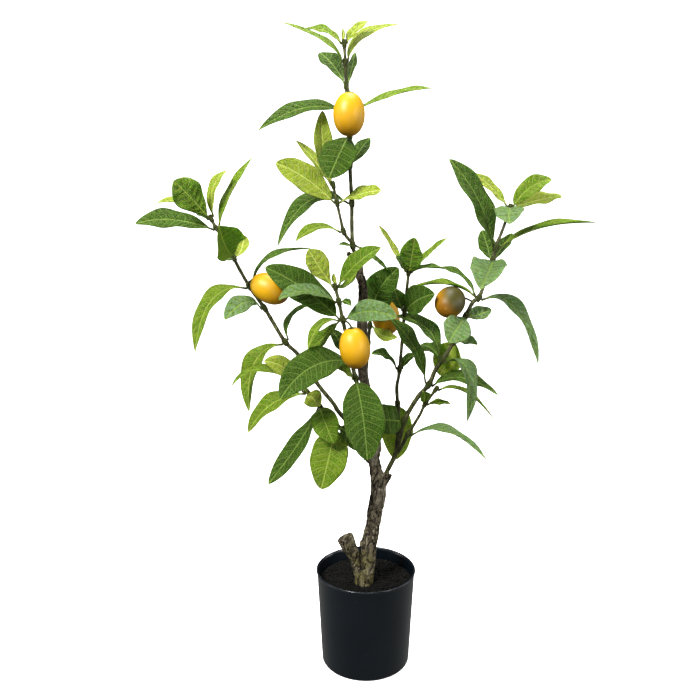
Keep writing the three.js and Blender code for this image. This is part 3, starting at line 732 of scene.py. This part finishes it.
def grow_ring(name, joints, radii, at, rows, draw):
    """One ring of leaves: its sleeve and its blades."""
    route = np.array(joints, dtype=float) * MM
    centre = route[at]
    way = unit(route[min(at + 1, len(route) - 1)] - route[max(at - 1, 0)])
    thickness = np.interp(at / (len(joints) - 1), np.linspace(0, 1, len(radii)), radii) * MM
    parts = [sleeve(centre, way, thickness + 0.8 * MM)]
    for row in rows:
        via = np.array(row["via"], dtype=float)
        outward = unit(via - way * via.dot(way)) * (thickness + 1.0 * MM)
        parts.append(blade(centre, row, outward, draw))
    points, faces = joined([(part[0], part[1], None) for part in parts])
    paints = {label: np.vstack([part[2][label] for part in parts]) for label in parts[0][2]}
    return piece(f"{name}_cloth", points, faces, leaf_cloth, "leaf_blade", [name], paints)


def grow_rings(stem, joints, radii, rings, seed):
    draw = np.random.default_rng(seed)
    for k, (at, rows) in enumerate(rings.items()):
        grow_ring(f"{stem}_leaves_{k + 1}", joints, radii, at, rows, draw)


def leaf_paint(start):
    phase, away, along = start.painted("vein", "Vector").split()
    age, under, chance = start.painted("tone", "Vector").split()
    skin = start.painted("skin", "Vector")
    beside = skin.split()[1].math("ABSOLUTE")
    # Painted sheen: this mask picks out the leaves of the sheen tone.
    frost = chance.rise(0.95, 1.0)
    bloom = start.noise(skin, 0.09, 3)
    mottle = start.noise(skin, 0.5, 4, 0.65)
    fibre = start.noise(skin, 3.2, 2)
    net = 1 - start.cells(skin, 0.42, "DISTANCE_TO_EDGE").rise(0.0, 0.15)
    fine_net = 1 - start.cells(skin, 1.3, "DISTANCE_TO_EDGE").rise(0.0, 0.18)
    to_vein = 0.5 - (phase.math("FRACT") - 0.5).math("ABSOLUTE")
    side_vein = (1 - to_vein.rise(0.02, 0.095)) * (1 - away.rise(0.75, 0.98)) * beside.rise(0.2, 0.9)
    midrib = 1 - beside.rise(0.3, 0.9)
    margin = away.rise(0.945, 0.985)
    ripe = age + (bloom - 0.5) * 0.6 + away * 0.05
    green = ripe.ramp(
        (0.0, (0.038, 0.090, 0.004)), (0.25, (0.062, 0.145, 0.006)), (0.5, (0.115, 0.220, 0.007)),
        (0.78, (0.21, 0.32, 0.012)), (1.0, (0.34, 0.43, 0.028)),
    )
    line = age.ramp((0.0, (0.24, 0.35, 0.08)), (0.5, (0.36, 0.46, 0.09)), (1.0, (0.58, 0.65, 0.18)))
    back = age.ramp((0.0, (0.085, 0.14, 0.035)), (1.0, (0.34, 0.42, 0.10)))
    colour = green.mix(mottle.rise(0.38, 0.66) * 0.75, green.mix(1.0, (0.30, 0.38, 0.25, 1), "MULTIPLY"))
    # Painted reflection: a pale blue-green is laid over those leaves where glancing light would show on them.
    colour = colour.mix(frost * mottle.rise(0.3, 0.6) * 0.75, (0.25, 0.37, 0.22, 1))
    # Painted shade: the hollows beside the side veins are darkened, less towards the margin and on young
    # leaves.
    painted_valley_shade = (1 - to_vein.rise(0.05, 0.24)) * (1 - away.rise(0.6, 0.95)) * (1 - age * 0.6)
    colour = colour.mix(painted_valley_shade * 0.7, green.mix(1.0, (0.34, 0.42, 0.40, 1), "MULTIPLY"))
    colour = colour.mix((net * 0.40 + fine_net * 0.16) * (1 - side_vein), line)
    colour = colour.mix(side_vein * 0.8, line)
    colour = colour.mix(under * 0.85, back.mix(net * 0.35, line))
    colour = colour.mix(midrib * 0.95, line)
    colour = colour.mix(margin * 0.65, line)
    neck = (1 - along.rise(0.03, 0.11)) * (0.55 + mottle * 0.5)
    colour = colour.mix(neck.math("MINIMUM", 1.0), (0.060, 0.062, 0.022, 1))
    relief = mottle * 0.5 - net * 0.6 - fine_net * 0.25 - side_vein * 1.4 + fibre * 0.25
    return {
        "Base Color": colour,
        "Roughness": 0.34 + under * 0.18 + mottle * 0.14 + net * 0.06 - frost * 0.06,
        "Normal": start.bump(relief, 0.0020, 1.0),
    }


leaf_cloth = finish(
    "leaf_cloth",
    {"Specular IOR Level": 0.17, "Subsurface Weight": 0.25, "Subsurface Scale": 0.002,
     "Subsurface Radius": (0.35, 0.9, 0.1)},
    leaf_paint
)

# Fruits: hollow moulded ovals with a waxy amber skin, each on its own stalk under a small star of sepals
fruit_half = 22.5 * MM
fruit_radius = 16.5 * MM


def fruit_form(fruit):
    """A long oval, a little fuller towards its blossom end, with a dimple at the stalk."""
    sides, rings = 64, 44
    points, shares = [], []
    for ring in range(rings + 1):
        angle = math.pi * (ring / rings - 0.5)
        up = math.sin(angle)
        dimple = 2.0 * MM * max(0.0, (up - 0.95) / 0.05) ** 1.5
        nub = 0.5 * MM * math.exp(-((up + 1) / 0.004) ** 2)
        radius = fruit_radius * max(math.cos(angle), 0) ** 0.9 * (1 - 0.02 * up)
        for k in range(sides):
            turn = 2 * math.pi * k / sides
            x, y = radius * math.cos(turn), radius * math.sin(turn)
            uneven = noise.noise(Vector((x, y, fruit_half * up)) * 45 + Vector(fruit["centre"])) * 0.35 * MM
            scale = 1 + uneven / fruit_radius
            points.append((x * scale, y * scale, fruit_half * up - dimple - nub))
            shares.append((0.5 + 0.5 * up, fruit.get("green", 0), 0))
    faces = [tuple(range(sides))[::-1], tuple(rings * sides + k for k in range(sides))]
    for ring in range(rings):
        for k in range(sides):
            a, b = ring * sides + k, ring * sides + (k + 1) % sides
            faces.append((a, b, b + sides, a + sides))
    placed = stood(points, fruit)
    shares = np.array(shares)
    # The third share says how far a point lies towards the upper right front, in one fixed direction; it
    # places the dark green patch of the green fruit.
    shares[:, 2] = (placed - np.array(fruit["centre"]) * MM) @ (0.76, -0.25, 0.6) / fruit_radius
    return placed, faces, {"height": shares}


def stood(points, fruit):
    """Turns a form built along Z so that its lower end points the fruit's way, and puts it in its place."""
    turn = Vector((0, 0, -1)).rotation_difference(Vector(fruit["points"]).normalized())
    matrix = np.array(turn.to_matrix())
    return np.array(points) @ matrix.T + np.array(fruit["centre"]) * MM


def sepal_star(fruit):
    """Five short sepals round the stalk, lying on the fruit's shoulder."""
    points, faces = [], []
    for k in range(5):
        turn = 2 * math.pi * k / 5
        way = np.array([math.cos(turn), math.sin(turn), 0])
        beside = np.array([-math.sin(turn), math.cos(turn), 0])
        base = len(points)
        for share, wide in ((0.0, 0.9), (0.35, 1.5), (0.7, 1.1), (1.0, 0.15)):
            reach = (0.6 + 4.6 * share) * MM
            drop = fruit_half - 1.6 * MM + 1.5 * MM * math.sin(share * 2.6)
            for s in (-1, 0, 1):
                for level in (0.0, 0.45):
                    height = drop + (level - 0.15 * abs(s)) * MM
                    points.append(way * reach + beside * s * wide * MM + np.array([0, 0, height]))
        for row in range(3):
            a = base + row * 6
            for s in (0, 2):
                faces.append((a + s + 1, a + s + 7, a + s + 9, a + s + 3))
                faces.append((a + s, a + s + 2, a + s + 8, a + s + 6))
            faces.append((a, a + 6, a + 7, a + 1))
            faces.append((a + 4, a + 5, a + 11, a + 10))
        faces.append((base, base + 1, base + 3, base + 5, base + 4, base + 2))
        faces.append((base + 18, base + 20, base + 22, base + 23, base + 21, base + 19))
    return stood(points, fruit), faces


def fruit_paint(start):
    where = start.place()
    height, green, toward_upper_right = start.painted("height", "Vector").split()
    blush = start.noise(where, 55, 3)
    pores = start.cells(where, 900)
    specks = 1 - start.cells(where, 170).rise(0.04, 0.09)
    level = height + (blush - 0.5) * 0.25
    # The rind darkens towards the blossom end: partly a deeper orange there, partly painted shade on the
    # lower end of a hanging fruit.
    rind = level.ramp(
        (0.0, (0.17, 0.080, 0.001)), (0.2, (0.33, 0.175, 0.001)), (0.55, (0.43, 0.240, 0.002)),
        (1.0, (0.44, 0.255, 0.004)),
    )
    # A dark green patch over the upper right of the green fruit.
    tinge = green * (toward_upper_right + (blush - 0.5) * 0.3).rise(-0.35, 0.6)
    rind = rind.mix(green * 0.5, (0.20, 0.085, 0.002, 1))
    rind = rind.mix(tinge * 0.9, (0.018, 0.028, 0.004, 1))
    return {
        "Base Color": rind.mix(specks * 0.35, (0.55, 0.25, 0.02, 1)),
        "Roughness": 0.36 + blush * 0.12 + green * 0.06,
        "Normal": start.bump(pores.rise(0.0, 0.5), 0.00018, 0.6),
    }


fruit_rind = finish("fruit_rind", {"Specular IOR Level": 0.36, "Coat Roughness": 0.3}, fruit_paint)


def sepal_paint(start):
    where = start.place()
    veins = start.noise(where, 500, 3)
    colour = veins.ramp((0.3, (0.03, 0.06, 0.012)), (0.7, (0.14, 0.19, 0.05)))
    return {"Base Color": colour, "Roughness": 0.5 + veins * 0.2, "Normal": start.bump(veins, 0.0003)}


sepal_green = finish("sepal_green", {}, sepal_paint)


def hang_fruit(fruit):
    name = fruit["name"]
    form, faces, paints = fruit_form(fruit)
    piece(f"{name}_rind", form, faces, fruit_rind, "fruit_skin", [name], paints)
    piece(f"{name}_sepals", *sepal_star(fruit), sepal_green, "leaf_blade")


leader_rings = {
    11: [
        leaf("young", 14, (25, 5, 23), (10, 2, 12), (-0.4, -0.7, 0.6)),
        leaf("mid", 14, (-42, 8, 15), (-20, 5, 13), (0.2, -0.6, 0.8)),
        leaf("young", 4, (-2, 0, 15), (-1, 0, 8), (0, -1, 0)),
    ],
    10: [
        leaf("mid", 14, (-64, -15, 38), (-20, -8, 20), (0.5, -0.4, 0.7)),
        leaf("young", 16, (57, 20, 40), (18, 12, 28), (-0.3, -0.6, 0.7)),
    ],
    9: [
        leaf("mature", 22, (-29, 45, 37), (-13, 24, 21), (0, -0.7, 0.8), shape="spoon"),
        leaf("mature", 14, (9, 42, 37), (6, 22, 19), (-0.6, -0.5, 0.7)),
    ],
    8: [
        leaf("mature", 24, (-94, -20, -19), (-46, -12, 4), (0, -0.6, 0.8)),
        leaf("mid", 16, (90, 15, 25), (51, 8, 19), (-0.2, -0.4, 0.9)),
    ],
    7: [
        leaf("mature", 38, (-22, -34, -44), (-13, -24, -23), (0, -0.8, 0.6), shape="blunt"),
    ],
    6: [
        leaf("mature", 16, (22, 32, 28), (11, 16, 15), (0.1, -0.7, 0.7)),
    ],
    4: [
        leaf("mature", 25, (-81, -6, -46), (-47, 8, 2), (-0.3, -0.6, 0.7)),
    ],
    2: [
        leaf("mature", 7, (-15, -17, 3), (-7, -9, 2), (0.5, -0.3, 0.8)),
        leaf("mature", 12, (40, 16, -30), (22, 11, -14), (0.6, -0.4, 0.7)),
    ],
}
side_shoot_rings = {
    2: [
        leaf("mid", 14, (-51, -15, -9), (-28, -7, 5), (0, -0.6, 0.8), shape="spoon"),
    ],
    4: [
        leaf("young", 20, (47, -14, 14), (24, -9, 10), (-0.4, -0.6, 0.7), shape="spoon"),
        leaf("young", 30, (-64, -16, 42), (-34, -10, 27), (0.4, -0.9, 0.2), shape="blunt"),
    ],
    5: [
        leaf("young", 22, (-11, 8, 77), (-11, 6, 38), (0.4, -0.9, 0.2), shape="blunt"),
        leaf("young", 14, (-40, 18, 46), (-20, 10, 25), (0.4, -0.6, 0.6), shape="blunt"),
    ],
}
grow_bough("leader", [
    (leader_joints, leader_radii, leader_rings),
    (side_shoot_joints, side_shoot_radii, side_shoot_rings),
], [leader_fruit])
grow_rings("leader", leader_joints, leader_radii, leader_rings, 21)
grow_rings("side_shoot", side_shoot_joints, side_shoot_radii, side_shoot_rings, 22)
hang_fruit(leader_fruit)

# ---------------------------------------------------------------- front shoot
# Stands in front of the trunk, set in a socket in its bend. It carries the largest leaves and one fruit,
# which hides the shoot's middle.
front_shoot_radii = [2.5, 2.3, 2, 1.7]
front_shoot_joints = [
    (9, 0, 290), (-1, -14, 324), (-13, -26, 365), (-17, -29, 386), (-22, -30, 409), (-27, -31, 432),
    (-31, -33, 452), (-35, -33, 468),
]
front_shoot_rings = {
    7: [
        leaf("young", 26, (-28, -13, 42), (-16, -9, 22), (0.5, -0.9, 0.1), shape="spoon"),
        leaf("bright", 24, (49, -3, 43), (23, -5, 26), (-0.5, -0.7, 0.5)),
        leaf("mid", 14, (25, 21, 18), (13, 11, 1), (-0.4, -0.3, 0.9)),
        leaf("young", 5, (-1, 1, 15), (-1, 0, 8), (0, -1, 0)),
    ],
    6: [
        leaf("frosted", 20, (-63, -23, 6), (-35, -13, 14), (0.2, -0.5, 0.9), shape="blunt"),
        leaf("mature", 10, (13, -14, -2), (7, -8, 2), (-0.2, -0.3, 0.9)),
    ],
    5: [
        leaf("mature", 34, (-83, 0, 57), (-42, 0, 34), (0.2, -0.9, 0.3), shape="blunt"),
        leaf("frosted", 26, (57, -31, 8), (28, -19, 13), (-0.5, -0.7, 0.5), shape="blunt"),
        leaf("mid", 14, (-37, -25, -28), (-24, -14, -3), (-0.3, -0.4, 0.8)),
        leaf("bright", 18, (-38, 3, -36), (-22, 1, -21), (-0.5, -0.7, 0.5)),
    ],
    3: [
        leaf("mature", 38, (-76, -42, -32), (-43, -30, 0), (0.2, -0.8, 0.6), shape="blunt"),
        leaf("mature", 18, (-23, 18, 31), (-12, 10, 17), (0.3, -0.7, 0.6)),
    ],
    2: [
        leaf("mature", 46, (13, -32, -85), (8, -26, -35), (0.1, -0.9, 0.4), shape="blunt"),
        leaf("mid", 16, (-23, -12, 17), (-10, -10, 11), (0.7, -0.4, 0.6)),
    ],
}
front_shoot_fruit = {"name": "fruit_front", "at": 5, "centre": (-14, -52, 405), "points": (0.15, -0.1, -1)}
grow_bough("front_shoot", [(front_shoot_joints, front_shoot_radii, front_shoot_rings)], [front_shoot_fruit])
grow_rings("front_shoot", front_shoot_joints, front_shoot_radii, front_shoot_rings, 31)
hang_fruit(front_shoot_fruit)

# ---------------------------------------------------------------- left twig
# A short twig low on the left, wired and skinned like the boughs, with broad leaves that hang.
left_twig_radii = [2.5, 2.1, 1.6]
left_twig_joints = [
    (10, 0, 252), (-10, -8, 281), (-34, -16, 306), (-53, -22, 331), (-66, -28, 349),
]
left_twig_rings = {
    4: [
        leaf("mid", 24, (-66, -14, -43), (-39, -12, -10), (-0.3, -0.6, 0.7)),
        leaf("young", 22, (14, -16, -12), (6, -10, -4), (-0.3, -0.7, 0.6)),
        leaf("young", 9, (-8, -15, 9), (-4, -8, 6), (0, -0.5, 1)),
        leaf("young", 22, (-47, -12, 38), (-24, -8, 29), (0.5, -0.8, 0.3)),
        leaf("mid", 18, (-83, -17, 11), (-47, -14, 30), (0.2, -0.2, 1)),
    ],
    3: [
        leaf("bright", 30, (16, -28, -35), (6, -20, -12), (-0.1, -0.8, 0.6), shape="blunt"),
        leaf("mature", 24, (-59, -10, -90), (-22, -12, -37), (-0.4, -0.8, 0.4), shape="spoon"),
    ],
    2: [
        leaf("mid", 42, (-17, -38, -62), (-8, -27, -26), (0.1, -0.9, 0.5), shape="blunt"),
        leaf("mature", 20, (22, -6, -28), (14, -10, -8), (0.3, -1, 0.3)),
    ],
}
grow_bough("left_twig", [(left_twig_joints, left_twig_radii, left_twig_rings)], [])
grow_rings("left_twig", left_twig_joints, left_twig_radii, left_twig_rings, 41)

# ---------------------------------------------------------------- left bough
# The long bough to upper left. Its leaves arch outwards, and a fruit lies on its upper side.
left_bough_radii = [2.7, 2.5, 2.2, 1.9, 1.6]
left_bough_joints = [
    (11, 0, 268), (-10, -3, 292), (-32, -6, 319), (-38, -6, 329), (-55, -6, 351), (-77, -4, 385),
    (-92, -2, 400), (-107, 0, 425), (-115, 0, 439), (-131, 0, 463), (-148, 3, 495), (-158, 5, 522),
    (-166, 5, 527), (-172, 5, 538),
]
left_bough_rings = {
    6: [
        leaf("mid", 26, (-40, -24, -75), (-34, -16, -20), (-0.5, -0.7, 0.5)),
        leaf("mature", 18, (34, 20, 42), (6, 10, 27), (-0.7, -0.3, 0.7)),
    ],
    8: [
        leaf("frosted", 24, (-40, -32, -7), (-19, -13, 9), (0.3, -0.5, 0.8), shape="spoon"),
    ],
    9: [
        leaf("mid", 24, (-59, -26, -69), (-40, -18, -12), (-0.4, -0.7, 0.6)),
        leaf("mature", 16, (69, 18, 40), (23, 10, 32), (-0.4, -0.3, 0.8)),
    ],
    10: [
        leaf("mid", 38, (-6, -60, 41), (-5, -29, 18), (0.7, -0.4, -0.5), shape="spoon", fold=0.62),
        leaf("young", 18, (8, 32, 21), (7, 16, 8), (-0.1, -0.5, 0.8), shape="blunt"),
        leaf("frosted", 14, (-14, -17, 1), (-5, -9, 0), (0.3, -0.2, 0.9)),
    ],
    12: [
        leaf("mature", 26, (-84, -23, 7), (-46, -13, 11), (0.2, -0.7, 0.7)),
        leaf("mid", 20, (40, 9, 76), (14, 5, 35), (-0.8, -0.5, 0.5)),
    ],
    13: [
        leaf("bright", 34, (-34, -25, 42), (-17, -15, 22), (0.5, -0.8, -0.1), shape="spoon"),
        leaf("young", 14, (19, 1, 51), (3, 1, 32), (-0.6, -0.8, 0.2), shape="blunt"),
        leaf("young", 18, (-60, 9, 16), (-31, 7, 16), (0.2, -0.4, 0.9)),
        leaf("frosted", 12, (-25, -19, 13), (-14, -10, 7), (0.6, -0.3, 0.7)),
    ],
}
left_bough_fruit = {"name": "fruit_left", "at": 9, "centre": (-107, -13, 463), "points": (0.9, -0.2, -0.35)}
grow_bough("left_bough", [(left_bough_joints, left_bough_radii, left_bough_rings)], [left_bough_fruit])
grow_rings("left_bough", left_bough_joints, left_bough_radii, left_bough_rings, 51)
hang_fruit(left_bough_fruit)

# ---------------------------------------------------------------- right bough
# The long bough to the right, in a cut stub of the trunk, with an inner shoot and a low shoot moulded
# on to it. Its fruit points forwards.
right_bough_radii = [3, 2.8, 2.5, 2.3, 2, 1.6]
right_bough_joints = [
    (18, 0, 227), (24, -2, 244), (34, -4, 267), (37, -5, 281), (43, -7, 308), (57, -10, 336),
    (70, -12, 353), (77, -12, 370), (84, -13, 382), (97, -14, 404), (109, -13, 432), (117, -12, 448),
    (123, -11, 452), (128, -9, 464), (138, -5, 493), (141, -3, 507), (149, 0, 528), (156, 3, 550),
]
right_bough_rings = {
    4: [
        leaf("mature", 36, (-42, -23, 10), (-19, -14, 6), (0.5, -0.7, 0.5), shape="blunt"),
    ],
    6: [
        leaf("mature", 24, (-46, -20, 80), (-19, -12, 48), (0.7, -0.6, 0.3)),
        leaf("mature", 24, (78, -5, -11), (37, -3, 9), (0.1, -0.4, 0.9)),
    ],
    8: [
        leaf("frosted", 24, (26, -31, -63), (26, -20, -7), (0.6, -0.6, 0.5)),
        leaf("mature", 22, (-51, 25, 45), (-16, 13, 33), (0.3, -0.6, 0.7)),
        leaf("mature", 18, (-23, 35, 8), (-12, 19, 10), (-0.2, -0.3, 0.9)),
    ],
    9: [
        leaf("frosted", 14, (23, -22, 1), (12, -12, 3), (-0.4, -0.3, 0.9)),
        leaf("young", 36, (-12, 26, -47), (-3, 20, -23), (-0.5, -0.8, -0.3), shape="blunt"),
    ],
    10: [
        leaf("frosted", 32, (-24, -53, -18), (-14, -36, -7), (0.4, -0.4, 0.8)),
        leaf("frosted", 20, (30, 11, 6), (15, 6, 1), (0.1, -0.6, 0.8), shape="blunt"),
    ],
    12: [
        leaf("frosted", 22, (66, -17, -71), (40, -7, -10), (0.5, -0.6, 0.6)),
        leaf("mature", 16, (-53, 23, 30), (-22, 13, 26), (0.4, -0.3, 0.9)),
        leaf("mid", 16, (-73, 0, 12), (-35, 1, 16), (0.2, -0.1, 1)),
    ],
    14: [
        leaf("frosted", 38, (-21, -59, -22), (-9, -29, -9), (0, -0.3, 0.9), shape="blunt", fold=0.62),
        leaf("mature", 20, (-10, 21, 31), (-5, 12, 15), (0, -0.8, 0.6), shape="blunt"),
        leaf("mature", 16, (25, 26, 27), (13, 15, 14), (-0.3, -0.5, 0.8)),
    ],
    15: [
        leaf("mature", 30, (-55, -13, 95), (-22, -9, 52), (0.6, -0.8, 0.2), shape="blunt"),
        leaf("mid", 20, (109, 3, 27), (49, 1, 22), (-0.2, -0.1, 1)),
    ],
    17: [
        leaf("young", 16, (-41, -5, 37), (-21, -3, 21), (0.5, -0.7, 0.5)),
        leaf("mid", 22, (42, -9, 30), (20, -5, 22), (-0.5, -0.8, 0.4), shape="blunt"),
        leaf("young", 20, (60, 17, 11), (34, 9, 8), (0, -0.5, 0.8), shape="blunt"),
        leaf("frosted", 32, (-5, -31, -15), (-4, -17, -5), (-0.1, -0.4, 0.9), shape="blunt"),
    ],
}
inner_shoot_radii = [2.3, 2, 1.7]
inner_shoot_joints = [
    (34, -4, 267), (37, 1, 295), (36, 5, 325), (35, 6, 346), (38, 8, 366), (43, 12, 433),
    (47, 14, 477),
]
inner_shoot_rings = {
    2: [
        leaf("young", 38, (0, 23, -77), (1, 19, -34), (-0.1, -1, -0.3), shape="blunt"),
    ],
    4: [
        leaf("mature", 16, (-33, -18, 22), (-16, -9, 18), (0.6, -0.3, 0.7)),
        leaf("mature", 14, (19, 6, 17), (8, 3, 10), (-0.5, -0.5, 0.7)),
    ],
    5: [
        leaf("mature", 32, (29, -48, 28), (12, -25, 17), (-0.9, -0.5, 0), shape="blunt"),
        leaf("mature", 18, (-12, 0, 26), (-8, -1, 14), (0.5, -0.9, 0.2)),
    ],
    6: [
        leaf("mature", 14, (34, -22, 9), (15, -10, 7), (-0.3, -0.1, 0.9)),
        leaf("young", 12, (-34, 8, 52), (-19, 5, 29), (0.7, -0.5, 0.5)),
        leaf("bright", 26, (4, -28, 42), (2, -15, 20), (-0.4, -0.8, -0.5), shape="blunt"),
        leaf("frosted", 12, (-16, -18, 20), (-8, -9, 11), (0.8, -0.6, 0.1)),
        leaf("mid", 12, (45, 24, 36), (25, 13, 21), (-0.5, -0.3, 0.8)),
    ],
}
low_shoot_radii = [2.1, 1.8, 1.5]
low_shoot_joints = [
    (34, -4, 267), (39, -9, 275), (47, -16, 295), (59, -24, 320), (65, -28, 335), (76, -34, 354),
]
low_shoot_rings = {
    2: [
        leaf("frosted", 18, (89, -13, -26), (44, -7, 7), (0.2, -0.2, 0.9)),
    ],
    4: [
        leaf("bright", 13, (-4, -14, 19), (-1, -6, 10), (0.4, -0.8, -0.5)),
        leaf("bright", 10, (29, 5, -1), (15, 3, 1), (0.1, -0.4, 0.9)),
    ],
    5: [
        leaf("mid", 14, (66, 4, -36), (33, 5, -4), (0.5, -0.1, 0.9)),
    ],
}
right_bough_fruit = {
    "name": "fruit_right", "at": 11, "centre": (91, -18, 449), "points": (-0.35, -1, -0.2), "green": 1,
}
grow_bough("right_bough", [
    (right_bough_joints, right_bough_radii, right_bough_rings),
    (inner_shoot_joints, inner_shoot_radii, inner_shoot_rings),
    (low_shoot_joints, low_shoot_radii, low_shoot_rings),
], [right_bough_fruit])
grow_rings("right_bough", right_bough_joints, right_bough_radii, right_bough_rings, 61)
grow_rings("inner_shoot", inner_shoot_joints, inner_shoot_radii, inner_shoot_rings, 62)
grow_rings("low_shoot", low_shoot_joints, low_shoot_radii, low_shoot_rings, 63)
hang_fruit(right_bough_fruit)

# ---------------------------------------------------------------- back twig
# A twig behind the trunk, with a half-hidden fruit and the leaves that fill the back of the crown.
back_twig_radii = [2.2, 1.9, 1.6]
back_twig_joints = [
    (-4, 0, 340), (-2, 14, 368), (2, 24, 392), (4, 31, 412), (6, 36, 434),
]
back_twig_rings = {
    3: [
        leaf("mature", 38, (32, -10, 69), (8, -6, 38), (-0.1, -1, -0.1), shape="blunt"),
        leaf("young", 18, (32, -8, -12), (16, -5, -11), (0.1, -0.6, 0.8)),
    ],
    4: [
        leaf("mature", 16, (-23, 48, -15), (-13, 26, -5), (-0.7, -0.1, 0.7)),
        leaf("mid", 26, (20, 58, 26), (9, 30, 20), (0, 0.2, 1)),
    ],
    2: [
        leaf("mature", 26, (-22, 50, -38), (-14, 30, -6), (0, 0.8, 0.7)),
        leaf("mature", 14, (-4, 46, -56), (-1, 27, -21), (-0.8, -0.5, -0.3)),
    ],
}
back_twig_fruit = {"name": "fruit_back", "at": 4, "centre": (23, 47, 420), "points": (0.2, 0.1, -1)}
grow_bough("back_twig", [(back_twig_joints, back_twig_radii, back_twig_rings)], [back_twig_fruit])
grow_rings("back_twig", back_twig_joints, back_twig_radii, back_twig_rings, 71)
hang_fruit(back_twig_fruit)
